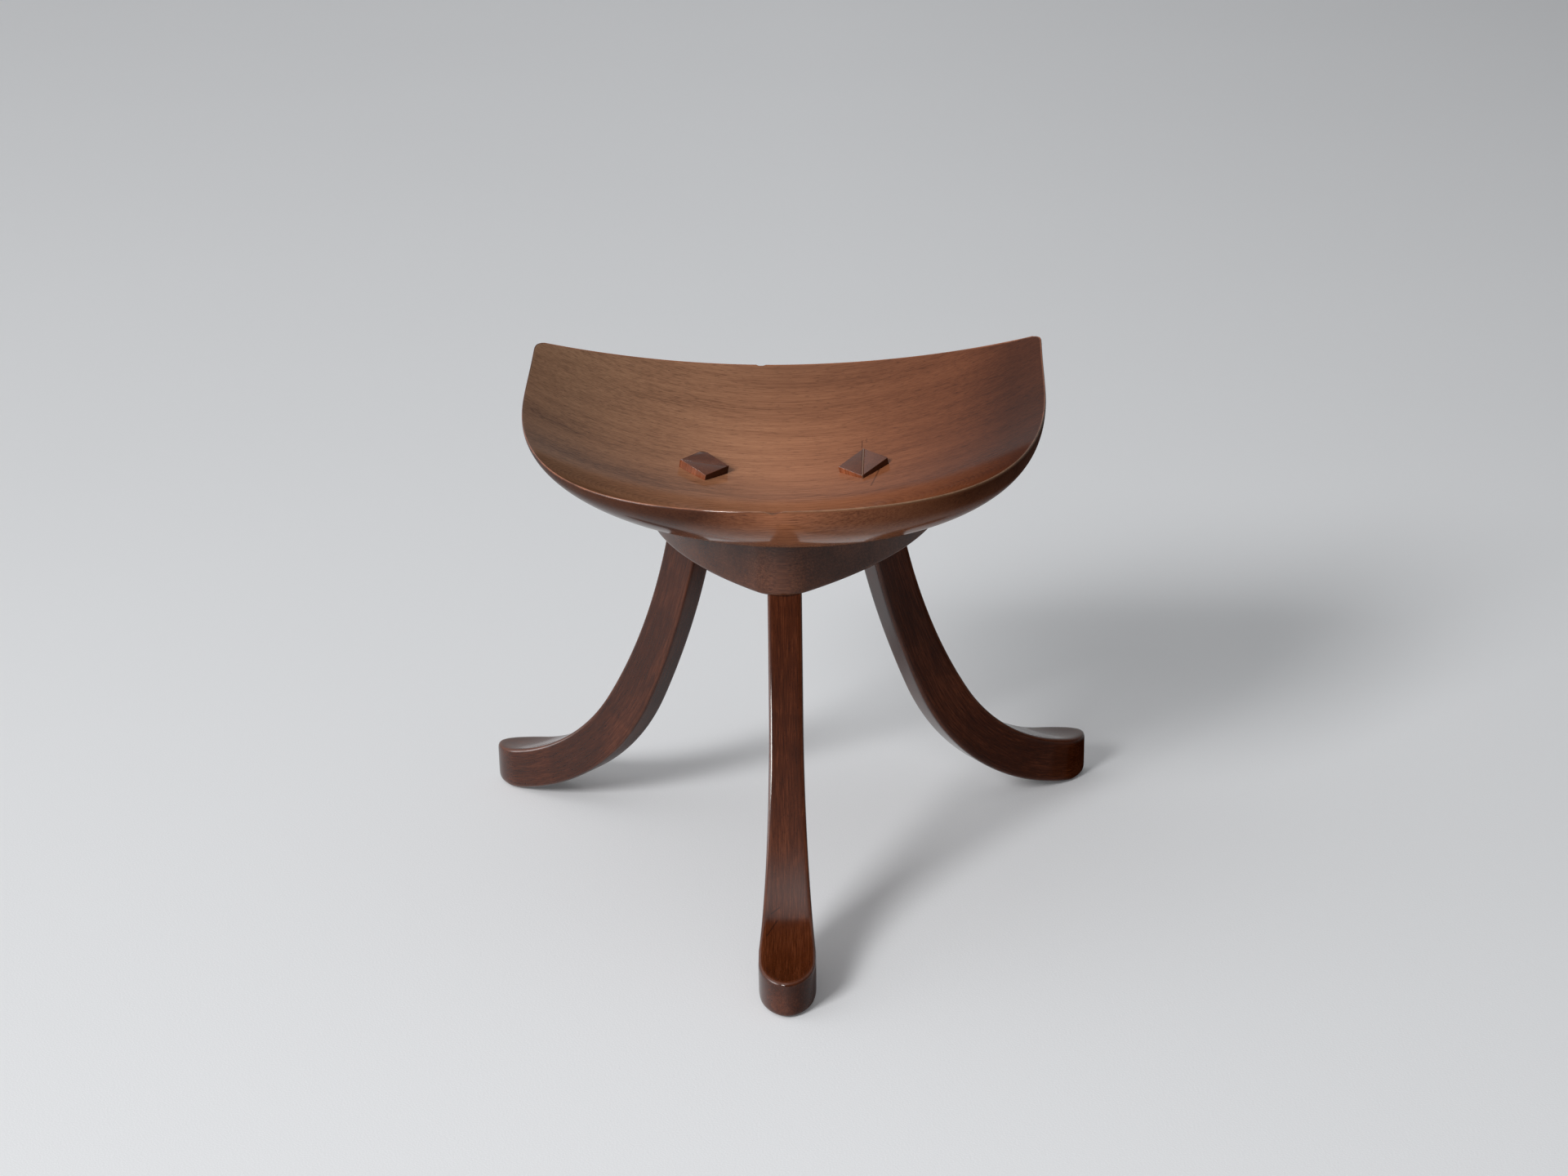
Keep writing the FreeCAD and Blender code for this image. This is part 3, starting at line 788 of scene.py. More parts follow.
@dataclass(frozen=True)
class WoodFinish:
    """A polished wood: its colours, how its figure lies and how glossy it is."""

    name: str
    dark: Colour
    middle: Colour
    light: Colour
    worn: Colour
    grain: GrainSource = GrainSource.OBJECT
    ring_back: float = -0.02
    ring_height: float = 0.12
    ring_spacing: float = 0.0025
    ring_strength: float = 0.14
    follow: float = 0.0
    fibre_strength: float = 1.0
    # Painted shade and light, set on the surface tone: darker ends, underside and far slope, lighter tops,
    # tenon tips and seat middle, and tints by facing.
    end_right: float = 0.0
    end_left: float = 0.0
    under: float = 0.0
    under_right: float = 0.0
    back_slope: float = 0.0
    upper: float = 0.0
    tip: float = 0.0
    rub: float = 0.0
    rub_x: float = 0.0
    rub_y: float = 0.0
    rub_reach: float = 0.1
    right_tint: Colour = WHITE
    left_tint: Colour = WHITE
    far_tint: Colour = WHITE
    under_tint: Colour = WHITE
    wear_amount: float = 0.8
    roughness: float = 0.45
    specular: float = 0.0
    coat: float = 0.7
    coat_up: float = 0.9
    coat_edge: float = 0.0
    coat_down: float = 0.0
    dull_right: float = 0.9
    coat_roughness: float = 0.07
    relief: float = 0.00012
    scratches: tuple[Scratch, ...] = ()

    def material(self, effects: Effects) -> bpy.types.Material:
        """Build the material.

        Args:
            effects: The shared node groups.

        Returns:
            The finished material.
        """
        material = bpy.data.materials.new(self.name)
        tree = cleared(material)
        if self.grain is GrainSource.OBJECT:
            place = tree.field("ShaderNodeTexCoord", take="Object")
        else:
            place = tree.field("ShaderNodeAttribute", take="Vector", attribute_name=GRAIN)
        # The surface tone is painted shade, light and tints by facing; its shade darkens the figure and its
        # tints colour the result.
        tone = tree.effect(effects.tone, self, {})
        figure = tree.effect(effects.figure, self, {"Place": place, "Shade": tone["Shade"]})
        wear = tree.effect(effects.wear, self, {"Place": place, "Base": figure["Color"]})
        handling = tree.effect(effects.handling, self, {"Place": place})
        colour = tree.tint(handling["Dirt"], wear["Color"], self.dark)
        colour = tree.tint(1.0, colour, tone["Glow"], "MULTIPLY")
        for scratch in self.scratches:
            mark = tree.effect(effects.scratch, scratch, {})
            colour = tree.tint(mark["Share"], colour, self.dark)
        height = figure["Relief"] + handling["Relief"]
        bump = tree.node("ShaderNodeBump", {"Height": height, "Distance": self.relief, "Strength": 1.0})
        feeds = {
            "Base Color": colour,
            "Roughness": self.roughness + figure["Dullness"] + handling["Dullness"] + wear["Dullness"],
            "Specular IOR Level": self.specular,
            "Coat Weight": tree.effect(effects.polish, self, {})["Weight"],
            "Coat Roughness": self.coat_roughness,
            "Normal": bump.outputs["Normal"],
        }
        shader = tree.node("ShaderNodeBsdfPrincipled", feeds)
        tree.node("ShaderNodeOutputMaterial", {"Surface": shader.outputs["BSDF"]})
        return material


SEAT_WOOD = WoodFinish(
    name="seat_wood",
    dark=(0.08, 0.028, 0.015),
    middle=(0.325, 0.14, 0.074),
    light=(0.47, 0.22, 0.12),
    worn=(0.42, 0.2, 0.115),
    follow=0.65,
    ring_spacing=0.0012,
    ring_strength=0.22,
    # Painted shade and light: darker ends, underside and forward-facing far slope, a pool of light in the
    # middle and tints by facing.
    end_right=1.95,
    end_left=0.55,
    under=0.18,
    under_right=0.2,
    back_slope=1.3,
    rub=0.3,
    rub_x=-0.02,
    rub_y=0.135,
    rub_reach=0.085,
    right_tint=(1.22, 0.86, 0.66),
    far_tint=(0.97, 1.14, 1.3),
    under_tint=(0.97, 0.97, 1.0),
    left_tint=(0.96, 1.08, 1.06),
    wear_amount=0.55,
    coat=0.25,
    coat_up=0.36,
    coat_edge=0.7,
    coat_down=0.45,
    coat_roughness=0.13,
    scratches=(
        Scratch(start_x=0.0555, start_y=0.1345, run_x=-0.0003, run_y=-0.0099),
        Scratch(start_x=0.0588, start_y=0.1368, run_x=-0.0003, run_y=-0.0049, depth=0.5),
        Scratch(start_x=0.0608, start_y=0.0592, run_x=0.0082, run_y=0.038, half_width=0.0009),
    ),
)
BLOCK_WOOD = WoodFinish(
    name="block_wood",
    dark=(0.03, 0.009, 0.004),
    middle=(0.072, 0.023, 0.0105),
    light=(0.13, 0.046, 0.022),
    worn=(0.15, 0.06, 0.03),
    fibre_strength=1.5,
    wear_amount=0.4,
    coat=0.68,
    dull_right=0.5,
)
LEG_WOOD = WoodFinish(
    name="leg_wood",
    dark=(0.016, 0.0032, 0.0009),
    middle=(0.046, 0.01, 0.0028),
    light=(0.115, 0.03, 0.011),
    worn=(0.16, 0.05, 0.024),
    grain=GrainSource.ATTRIBUTE,
    ring_back=0.02,
    ring_height=0.09,
    wear_amount=0.35,
    coat=0.85,
    dull_right=1.0,
    # Painted light on faces that look up and on the sides of the tenon tips.
    upper=0.5,
    tip=4.0,
    coat_roughness=0.12,
    scratches=(
        Scratch(start_x=-0.0039, start_y=-0.1527, run_x=-0.0054, run_y=-0.0043),
        Scratch(start_x=-0.0053, start_y=-0.1616, run_x=-0.0066, run_y=-0.012, half_width=0.0009),
    ),
)
WEDGE_WOOD = WoodFinish(
    name="wedge_wood",
    dark=(0.06, 0.022, 0.012),
    middle=(0.13, 0.055, 0.03),
    light=(0.2, 0.095, 0.055),
    worn=(0.2, 0.095, 0.055),
    grain=GrainSource.ATTRIBUTE,
)


@dataclass
class Seat:
    """The dished plank: a D-shaped rim, a hollow above and a rounded belly below."""

    axis_back: float
    half_width: float = 0.1839
    front: float = 0.1684
    widest: float = 0.0647
    corner_out: float = 0.182
    corner_back: float = 0.1315
    back_bow: float = 0.043
    corner_round: float = 0.009
    left_corner_round: float = 0.013
    dish_across: float = 0.3668
    dish_along: float = 0.3444
    dish_forward: float = 0.0046
    dish_floor: float = 0.267
    belly: float = 0.253
    belly_power: float = 2.0
    belly_lean: float = 1.6
    rim_round: float = 0.0009
    rim_drop: float = 0.3
    rim_skew: float = 0.95
    wear_reach: float = 0.0018
    notch_x: float = -0.018
    notch_half: float = 0.0035
    notch_deep: float = 0.0016
    chip_x: float = -0.004
    chip_half: float = 0.006
    chip_deep: float = 0.003
    row_crowding: float = 1.5
    columns: int = 481
    rows: int = 141

    def dish(self, x: float, y: float) -> Vector:
        """Point of the dish above a place on the floor."""
        hollow = self.dish_along - self.dish_across + math.sqrt(self.dish_across ** 2 - x ** 2)
        forward = y - self.axis_back + self.dish_forward
        return Vector((x, y, self.dish_floor + self.dish_along - math.sqrt(hollow ** 2 - forward ** 2)))

    def dish_normal(self, x: float, y: float) -> Vector:
        """Upward direction square to the dish above a place on the floor."""
        step = self.rim_round
        right = self.dish(x + step, y) - self.dish(x - step, y)
        back = self.dish(x, y + step) - self.dish(x, y - step)
        return right.cross(back).normalized()

    def rim_guide(self) -> bpy.types.Object:
        """Draw the rim in plan, from the middle of the front round by the right."""
        bow_radius = (self.corner_out ** 2 + self.back_bow ** 2) / (2 * self.back_bow)
        slope = math.asin(self.corner_out / bow_radius)
        widest = Vector((self.half_width, self.widest, 0.0))
        corner = Vector((self.corner_out, self.corner_back, 0.0))
        along_side = (corner - widest).normalized()
        along_back = Vector((-math.cos(slope), math.sin(slope), 0.0))
        half_bend = along_side.angle(along_back) / 2
        before_widest = OVAL * (self.front + self.widest)
        by_front = OVAL * self.half_width

        def half_rim(radius: float) -> list[Knot]:
            """Knots of the right half with its back corner rounded."""
            cut = radius * math.tan(half_bend)
            return [
                Knot(widest, Vector((0.0, 1.0, 0.0)), before=before_widest),
                Knot(corner - along_side * cut, along_side),
                Knot(corner + along_back * cut, along_back),
            ]

        front = Knot(Vector((0.0, -self.front, 0.0)), Vector((1.0, 0.0, 0.0)), by_front, by_front)
        back = Knot(Vector((0.0, self.corner_back + self.back_bow, 0.0)), Vector((-1.0, 0.0, 0.0)))
        left = [knot.mirrored() for knot in reversed(half_rim(self.left_corner_round))]
        knots = [front, *half_rim(self.corner_round), back, *left]
        shift = Vector((0.0, self.axis_back, 0.0))
        return draw_guide("seat_rim", [replace(knot, spot=knot.spot + shift) for knot in knots], closed=True)

    @staticmethod
    def shape() -> ShapeTree:
        """Tree that bends a grid over the dish, round the rim and under the belly."""
        dish_sizes = ("Dish Across", "Dish Along", "Dish Centre", "Dish Floor")
        belly_sizes = ("Belly", "Belly Power", "Belly Lean")
        rim_sizes = ("Rim Round", "Rim Drop", "Rim Top", "Rim Skew", "Wear Reach", "Row Crowding")
        nick_sizes = ("Notch X", "Notch Half", "Notch Deep", "Chip X", "Chip Half", "Chip Deep")
        tree = ShapeTree("dished_seat", ("Rim",), dish_sizes + belly_sizes + rim_sizes + nick_sizes)
        across, along, centre, floor = map(tree.given, dish_sizes)
        belly, belly_power, belly_lean = map(tree.given, belly_sizes)
        rim_round, rim_drop, rim_top, rim_skew, wear_reach, row_crowding = map(tree.given, rim_sizes)
        rim_x, rim_y, _ = tree.split(tree.guide("Rim", tree.column))

        def dish(x: Field, y: Field) -> Field:
            """Height of the dish at a place in plan."""
            hollow = along - across + (across.squared() - x.squared()).root()
            return floor + along - (hollow.squared() - (y - centre).squared()).root()

        side = tree.row * 2.0 - 1.0
        outer = 1.0 - side.size() ** row_crowding
        above = side.math("LESS_THAN", 0.0)
        span = (rim_x.squared() + (rim_y - centre).squared()).root()
        rim_height = dish(rim_x, rim_y)
        under = (1.0 - outer) * QUARTER_TURN
        bend = 2.0 * (belly_power + belly_lean * rim_x).math("POWER", -1.0)
        fall = (rim_height - belly) * under.math("SINE") ** bend
        away = above.pick((1.0 - outer) * span, fall)
        ease = (away / rim_round * -1.0).math("EXPONENT")
        share = above.pick(outer, under.math("COSINE") ** bend) - ease * rim_round / span
        x = rim_x * share
        y = centre + (rim_y - centre) * share
        height = above.pick(dish(x, y), rim_height - fall) - ease * rim_round * rim_drop
        height = height.math("MINIMUM", rim_top)
        behind = rim_y.math("GREATER_THAN", centre)
        for name, side_share in (("Notch", behind), ("Chip", 1.0 - behind)):
            nick = (1.0 - ((x - tree.given(name + " X")) / tree.given(name + " Half")).size()).limited()
            nick = nick * side_share * tree.given(name + " Deep")
            height = height - (nick - away).positive()
        tree.store(WEAR, "FLOAT", (1.0 - away / wear_reach).limited())
        bent = (y - centre).squared() * x.positive()
        bent = bent - (y - centre).positive().squared() * x.math("MINIMUM", 0.0)
        tree.finish(tree.join(x + rim_skew * bent, y, height))
        return tree

    def build(self, finish: bpy.types.Material) -> bpy.types.Mesh:
        """Make the seat before its mortises are cut.

        Args:
            finish: The seat's material.

        Returns:
            The seat's mesh.
        """
        rim = self.rim_guide()
        given = {
            "Rim": rim,
            "Dish Centre": self.axis_back - self.dish_forward,
            "Rim Top": PACKED_BOX[1].z,
            "Finish": finish,
        }
        mesh = self.shape().make("seat_bowl", self, given)
        bpy.data.objects.remove(rim)
        return mesh


def cut_away(mesh: bpy.types.Mesh, tool: bpy.types.Object) -> bpy.types.Mesh:
    """Cut the shape of a tool object out of a mesh.

    Args:
        mesh: The mesh to cut.
        tool: The object whose shape is taken away.

    Returns:
        The cut mesh.
    """
    holder = add_object(mesh.name + "_cut", mesh)
    cut = holder.modifiers.new("cut", "BOOLEAN")
    cut.operation = "DIFFERENCE"
    cut.solver = "EXACT"
    cut.object = tool
    result = plain_mesh(holder)
    bpy.data.objects.remove(holder)
    result.set_sharp_from_angle(angle=SHARP_ANGLE)
    return result


@dataclass
class LegBlock:
    """The boss under the seat, a triangle with round corners that the legs are let into."""

    axis_back: float
    bottom: float = 0.2285
    front_out: float = 0.077
    back_out: float = 0.0945
    back_aside: float = 0.006
    corner: float = 0.024
    side: float = 0.350
    under_round: float = 0.003
    glue_line: float = 0.0003
    wear_reach: float = 0.004
    corner_steps: int = 24
    side_steps: int = 40
    round_steps: int = 8
    wall_rows: int = 10
    top_rows: int = 16

    @property
    def middle(self) -> Vector:
        """Middle of the block's underside."""
        return Vector((0.0, self.axis_back, self.bottom))

    def outline(self, inset: float) -> list[Vector]:
        """Plan of the block about its middle.

        Args:
            inset: How far the plan is set in from the block's wall.

        Returns:
            Points in order, anticlockwise from the front corner.
        """
        centres = []
        for leg in (Leg.FRONT, Leg.RIGHT, Leg.LEFT):
            out, aside = (self.front_out, 0.0) if leg is Leg.FRONT else (self.back_out, self.back_aside)
            centres.append(Vector((math.cos(leg.turn) * out + aside, math.sin(leg.turn) * out, 0.0)))
        bulges = []
        for here, after in zip(centres, centres[1:] + centres[:1]):
            chord = after - here
            inward = UP.cross(chord).normalized()
            depth = math.sqrt((self.side - self.corner) ** 2 - (chord.length / 2) ** 2)
            bulges.append((here + after) / 2 + inward * depth)
        points = []
        for index, centre in enumerate(centres):
            before, after = bulges[index - 1], bulges[index]
            following = centres[(index + 1) % len(centres)]
            points += arc(centre, self.corner - inset, centre - before, centre - after, self.corner_steps)
            points += arc(after, self.side - inset, centre - after, following - after, self.side_steps)
        return points

    def build(self, finish: bpy.types.Material, hull: BVHTree) -> bpy.types.Mesh:
        """Loft the block from its rounded lower edge up to the seat's underside.

        Args:
            finish: The block's material.
            hull: The seat's surface, which the top of the block follows.

        Returns:
            The block's mesh.
        """
        model = bmesh.new()
        wear = model.verts.layers.float.new(WEAR)

        def under_seat(spot: Vector) -> float:
            """Height just under the seat above a place."""
            hit, *_ = hull.ray_cast(spot, UP)
            return hit.z - self.glue_line

        rings = []
        for step in range(self.round_steps + 1):
            turn = QUARTER_TURN * step / self.round_steps
            inset = self.under_round * (1 - math.sin(turn))
            rise = UP * self.under_round * (1 - math.cos(turn))
            rings.append([self.middle + spot + rise for spot in self.outline(inset)])
        wall = rings[-1]
        for row in range(1, self.wall_rows + 1):
            share = row / self.wall_rows
            rings.append([spot + UP * (under_seat(spot) - spot.z) * share for spot in wall])
        for row in range(1, self.top_rows):
            inner = [self.middle.lerp(spot, 1 - row / self.top_rows) for spot in wall]
            rings.append([Vector((spot.x, spot.y, under_seat(spot))) for spot in inner])
        loops = [[model.verts.new(spot) for spot in ring] for ring in rings]
        for lower, upper in zip(loops, loops[1:]):
            for index in range(len(lower)):
                model.faces.new((lower[index - 1], lower[index], upper[index], upper[index - 1]))
        model.faces.new(reversed(loops[0]))
        model.faces.new(loops[-1])
        for vertex in model.verts:
            vertex[wear] = max(0.0, 1 - (vertex.co.z - self.bottom) / self.wear_reach)
        return finished_mesh(model, "block", finish)


def arc(centre: Vector, radius: float, start: Vector, end: Vector, steps: int) -> list[Vector]:
    """Points of an arc in plan, without its last point.

    Args:
        centre: Centre of the arc.
        radius: Radius of the arc.
        start: Direction from the centre to the first point.
        end: Direction from the centre to the end, reached anticlockwise.
        steps: How many points the arc has.

    Returns:
        The points.
    """
    first = math.atan2(start.y, start.x)
    sweep = (math.atan2(end.y, end.x) - first) % FULL_TURN
    turns = [first + sweep * step / steps for step in range(steps)]
    return [centre + Vector((math.cos(turn), math.sin(turn), 0.0)) * radius for turn in turns]


def finished_mesh(model: bmesh.types.BMesh, name: str, finish: bpy.types.Material) -> bpy.types.Mesh:
    """Turn an edited model into a smooth mesh with its material.

    Args:
        model: The edited model, which is freed.
        name: Name of the mesh.
        finish: The mesh's material.

    Returns:
        The mesh.
    """
    bmesh.ops.recalc_face_normals(model, faces=model.faces)
    mesh = bpy.data.meshes.new(name)
    model.to_mesh(mesh)
    model.free()
    if not mesh.materials:
        mesh.materials.append(finish)
    mesh.shade_smooth()
    mesh.set_sharp_from_angle(angle=SHARP_ANGLE)
    return mesh


@dataclass
class SweptLeg:
    """A leg: straight at the neck, swept out to a flared foot, with a wedged tenon on top."""

    leg: Leg
    axis_back: float
    height: float = 0.230
    root: float = 0.0835
    lean: float = math.radians(14.6)
    neck: float = 0.0105
    deep: float = 0.025
    half_width: float = 0.0115
    foot_half_width: float = 0.0187
    flare_start: float = 0.32
    flare_length: float = 0.63
    flare_power: float = 1.8
    reach: float = 0.276
    foot_extra: float = 0.0
    foot_tall: float = 0.0255
    foot_deep: float = 0.027
    foot_sweep: float = 0.137
    toe_share: float = 0.90
    edge_power: float = 12.0
    sole_power: float = 8.0
    nose_power: float = 1.8
    top_dish: float = 0.06
    grain_length: float = 0.75
    tenon_deep: float = 0.0248
    tenon_half: float = 0.011
    tenon_turn: float = 0.0
    tenon_tilt: float = 0.1
    tenon_proud: float = 0.005
    tenon_play: float = 0.00025
    tenon_sunk: float = 0.002
    tenon_edge: float = 0.0004
    tenon_corner: float = 0.0006
    corner_steps: int = 5
    wedge_half: float = 0.0006
    wedge_gap: float = 0.00008
    wedge_sunk: float = 0.012
    twist: float = 0.0
    aside: float = 0.0
    mortise_low: float = -0.04
    mortise_high: float = 0.08
    top_passes: int = 4
    edge_steps: int = 2
    columns: int = 241
    rows: int = 81

    @property
    def place(self) -> Matrix:
        """Move from the leg's own plane to its place round the axis."""
        turn = Matrix.Rotation(self.leg.turn, 4, "Z")
        aside = Matrix.Translation((0.0, self.aside, 0.0))
        return Matrix.Translation((0.0, self.axis_back, 0.0)) @ turn @ aside

    @property
    def tenon_place(self) -> Matrix:
        """Move from the tenon's own space, with Z along it, to its place in the stool."""
        root = Matrix.Translation((self.root, 0.0, self.height))
        lean = Matrix.Rotation(-self.lean, 4, "Y")
        return self.place @ root @ lean @ Matrix.Rotation(self.tenon_turn, 4, "Z")

    def guides(self) -> tuple[bpy.types.Object, bpy.types.Object]:
        """Draw the outer and inner sweeps of the leg's side view."""
        down = Vector((math.sin(self.lean), 0.0, -math.cos(self.lean)))
        outward = Vector((math.cos(self.lean), 0.0, math.sin(self.lean)))
        level = Vector((1.0, 0.0, 0.0))
        root = Vector((self.root, 0.0, self.height))
        neck = root + down * self.neck
        toe = Vector((self.reach, 0.0, self.foot_tall + self.foot_extra))
        centre = toe + UP * self.foot_sweep
        sole_radius = self.foot_sweep + self.foot_deep + self.foot_extra
        heel = Vector((self.reach - math.sqrt(sole_radius ** 2 - centre.z ** 2), 0.0, 0.0))
        sole_end = Vector((self.reach, 0.0, 0.0))
        ends = {
            1: [Knot(toe, level)],
            -1: [Knot(heel, along_sweep(heel - centre)), Knot(heel, level), Knot(sole_end, level)],
        }
        curves = []
        for side, radius in ((1, self.foot_sweep), (-1, sole_radius)):
            half = side * self.deep / 2
            neck_spot = neck + outward * half
            offset = neck_spot - centre
            upper = (radius ** 2 - offset.dot(offset)) / (2 * (offset.dot(outward) + radius))
            from_toe = (centre - neck_spot - outward * upper).normalized() * radius
            knots = [
                Knot(root + level * half / math.cos(self.lean), down),
                Knot(neck_spot, down),
                Knot(centre + from_toe, along_sweep(from_toe)),
                *ends[side],
            ]
            curves.append(draw_guide("sweep_" + ("outer" if side > 0 else "inner"), knots, closed=False))
        return curves[0], curves[1]

    @staticmethod
    def shape() -> ShapeTree:
        """Tree that bends a grid round a leg: out along one side, round the toe and back."""
        flare_sizes = ("Half Width", "Foot Half Width", "Flare Start", "Flare Length", "Flare Power")
        edge_sizes = ("Toe Share", "Edge Power", "Sole Power", "Nose Power", "Top Dish", "Deep", "Twist")
        grain_sizes = ("Grain Length", "Grain Start")
        tree = ShapeTree("swept_leg", ("Outer", "Inner"), flare_sizes + edge_sizes + grain_sizes)
        half_width, foot_half_width, flare_start, flare_length, flare_power = map(tree.given, flare_sizes)
        toe, edge_power, sole_power, nose_power, top_dish, deep, twist = map(tree.given, edge_sizes)
        grain_length, grain_start = map(tree.given, grain_sizes)
        out = 1.0 - (tree.column * 2.0 - 1.0).size()
        run = out.ramp((0.0, 1.0 - NOSE_SHARE))
        swing = ((MIDDLE - tree.column) / (NOSE_SHARE / 2)).math("MINIMUM", 1.0).math("MAXIMUM", -1.0)
        swing = swing * QUARTER_TURN
        flare = ((run - flare_start) / flare_length).limited()
        flare = flare ** flare_power
        width = half_width + (foot_half_width - half_width) * flare

        # The section is a square with round corners; each half is walked from its top to its sole.
        walk = 1.0 - tree.row * 2.0
        upper = walk.math("GREATER_THAN", 0.0)
        on_face = walk.size().math("GREATER_THAN", MIDDLE)
        power = edge_power - (edge_power - sole_power) * flare * (1.0 - upper)
        turn_in = power.math("POWER", -1.0)
        corner = (turn_in * -math.log(2.0)).math("EXPONENT")
        flat = corner * (1.0 - walk.size()) * 2.0
        steep = corner * walk.size() * 2.0
        wide = on_face.pick(flat, (1.0 - steep ** power) ** turn_in)
        high = on_face.pick((1.0 - flat ** power) ** turn_in, steep)
        worn = (wide * high).ramp(CORNER_WEAR)
        high = high - top_dish * flare * upper * (1.0 - wide.squared())
        high = high * walk.math("SIGN")

        point = nose_power.math("POWER", -1.0) * 2.0
        share = run * toe + wide * swing.math("COSINE") ** point * (1.0 - toe)
        across = wide * width * swing.math("SINE").size() ** point * swing.math("SIGN")
        depth = deep / 2.0
        lean = twist * (1.0 - flare)
        along = share * grain_length + grain_start
        grain = tree.join(along, across, high * depth)
        rise = high * depth * lean.math("COSINE") - across * lean.math("SINE")
        across = high * depth * lean.math("SINE") + across * lean.math("COSINE")
        high = rise / depth
        out_x, _, out_z = tree.split(tree.guide("Outer", share))
        in_x, _, in_z = tree.split(tree.guide("Inner", share))
        x = (out_x + in_x) / 2.0 + (out_x - in_x) / 2.0 * high
        z = (out_z + in_z) / 2.0 + (out_z - in_z) / 2.0 * high
        tree.store(GRAIN, "FLOAT_VECTOR", grain)
        tree.store(WEAR, "FLOAT", worn)
        tree.finish(tree.join(x, across, z))
        return tree

    def build(self, shape: ShapeTree, finish: bpy.types.Material, seat: Seat) -> bpy.types.Mesh:
        """Make the leg with its tenon.

        Args:
            shape: The tree that all legs share.
            finish: The leg's material.
            seat: The seat that the tenon passes through.

        Returns:
            The leg's mesh.
        """
        outer, inner = self.guides()
        given = {"Outer": outer, "Inner": inner, "Grain Start": self.leg.turn, "Finish": finish}
        mesh = shape.make("leg", self, given)
        for guide in (outer, inner):
            bpy.data.objects.remove(guide)
        mesh.transform(self.place)
        model = bmesh.new()
        model.from_mesh(mesh)
        rim = [edge for edge in model.edges if edge.is_boundary]
        bmesh.ops.holes_fill(model, edges=rim, sides=0)
        self.add_tenon(model, seat)
        return finished_mesh(model, self.leg.node, finish)

    def tenon_top(self, seat: Seat) -> tuple[Vector, Vector]:
        """Middle of the tenon's top and the direction square to it.

        Args:
            seat: The seat that the tenon stands above.

        Returns:
            A point of the top and its upward direction.
        """
        start = self.tenon_place @ Vector()
        axis = self.tenon_place.to_3x3() @ UP
        reach = 0.0
        for _ in range(self.top_passes):
            spot = start + axis * reach
            reach += (seat.dish(spot.x, spot.y).z - spot.z) / axis.z
        spot = start + axis * reach
        square = seat.dish_normal(spot.x, spot.y)
        lean = Vector((0.0, -self.tenon_tilt, 0.0))
        return spot + square * self.tenon_proud, (square + lean).normalized()

    def tenon_halves(self) -> list[list[Vector]]:
        """Plans of the tenon's two halves, either side of the wedge."""
        deep, wide = self.tenon_deep / 2, self.tenon_half
        far, near = self.kerf(self.wedge_half)
        bend = self.tenon_corner
        centre = Vector((deep - bend, bend - wide, 0.0))
        corner = arc(centre, bend, Vector((0.0, -1.0)), Vector((1.0, 0.0)), self.corner_steps)
        corner_end = Vector((deep, bend - wide, 0.0))
        round_half = [Vector((near, -wide, 0.0)), *corner, corner_end, Vector((deep, far, 0.0))]
        plain_half = [Vector((-near, wide, 0.0)), Vector((-deep, wide, 0.0)), Vector((-deep, -far, 0.0))]
        return [round_half, plain_half]

    def kerf(self, half: float) -> tuple[float, float]:
        """Where the edges of the wedge's cut meet the tenon's sides.

        Args:
            half: Half of the cut's width.

        Returns:
            Place on the outer side and place on the side that faces right of it.
        """
        deep, wide = self.tenon_deep / 2, self.tenon_half
        normal = Vector((wide, -deep)).normalized()
        return (half - deep * normal.x) / normal.y, (half + wide * normal.y) / normal.x

    def add_post(
        self, model: bmesh.types.BMesh, plan: Sequence[Vector], low: float, edge: float, seat: Seat
    ) -> None:
        """Add an upright post along the tenon that ends just above the seat.

        Args:
            model: The model that gets the post.
            plan: Outline of the post in the tenon's own space, anticlockwise.
            low: Where the post starts along the tenon.
            edge: How far the edge round its top is rounded.
            seat: The seat that the post passes through.
        """
        wear = model.verts.layers.float[WEAR]
        grain = model.verts.layers.float_vector[GRAIN]
        top, square = self.tenon_top(seat)
        axis = self.tenon_place.to_3x3() @ UP
        lower, upper = [], []
        for spot in plan:
            base = self.tenon_place @ (spot + UP * low)
            height = (top - base).dot(square) / axis.dot(square)
            lower.append(model.verts.new(base))
            upper.append(model.verts.new(base + axis * height))
            lower[-1][grain] = Vector((self.leg.turn, spot.y, spot.x))
            upper[-1][grain] = Vector((self.leg.turn - height, spot.y, spot.x))
        model.faces.new(reversed(lower))
        cap = model.faces.new(upper)
        for index in range(len(lower)):
            model.faces.new((lower[index - 1], lower[index], upper[index], upper[index - 1]))
        done = bmesh.ops.bevel(
            model,
            geom=list(cap.edges),
            offset=edge,
            segments=self.edge_steps,
            profile=ROUND_PROFILE,
            affect="EDGES",
        )
        for vertex in done["verts"]:
            vertex[wear] = 1.0

    def add_tenon(self, model: bmesh.types.BMesh, seat: Seat) -> None:
        """Add the tenon as two halves with the wedge's cut between them."""
        for plan in self.tenon_halves():
            self.add_post(model, plan, -self.tenon_sunk, self.tenon_edge, seat)

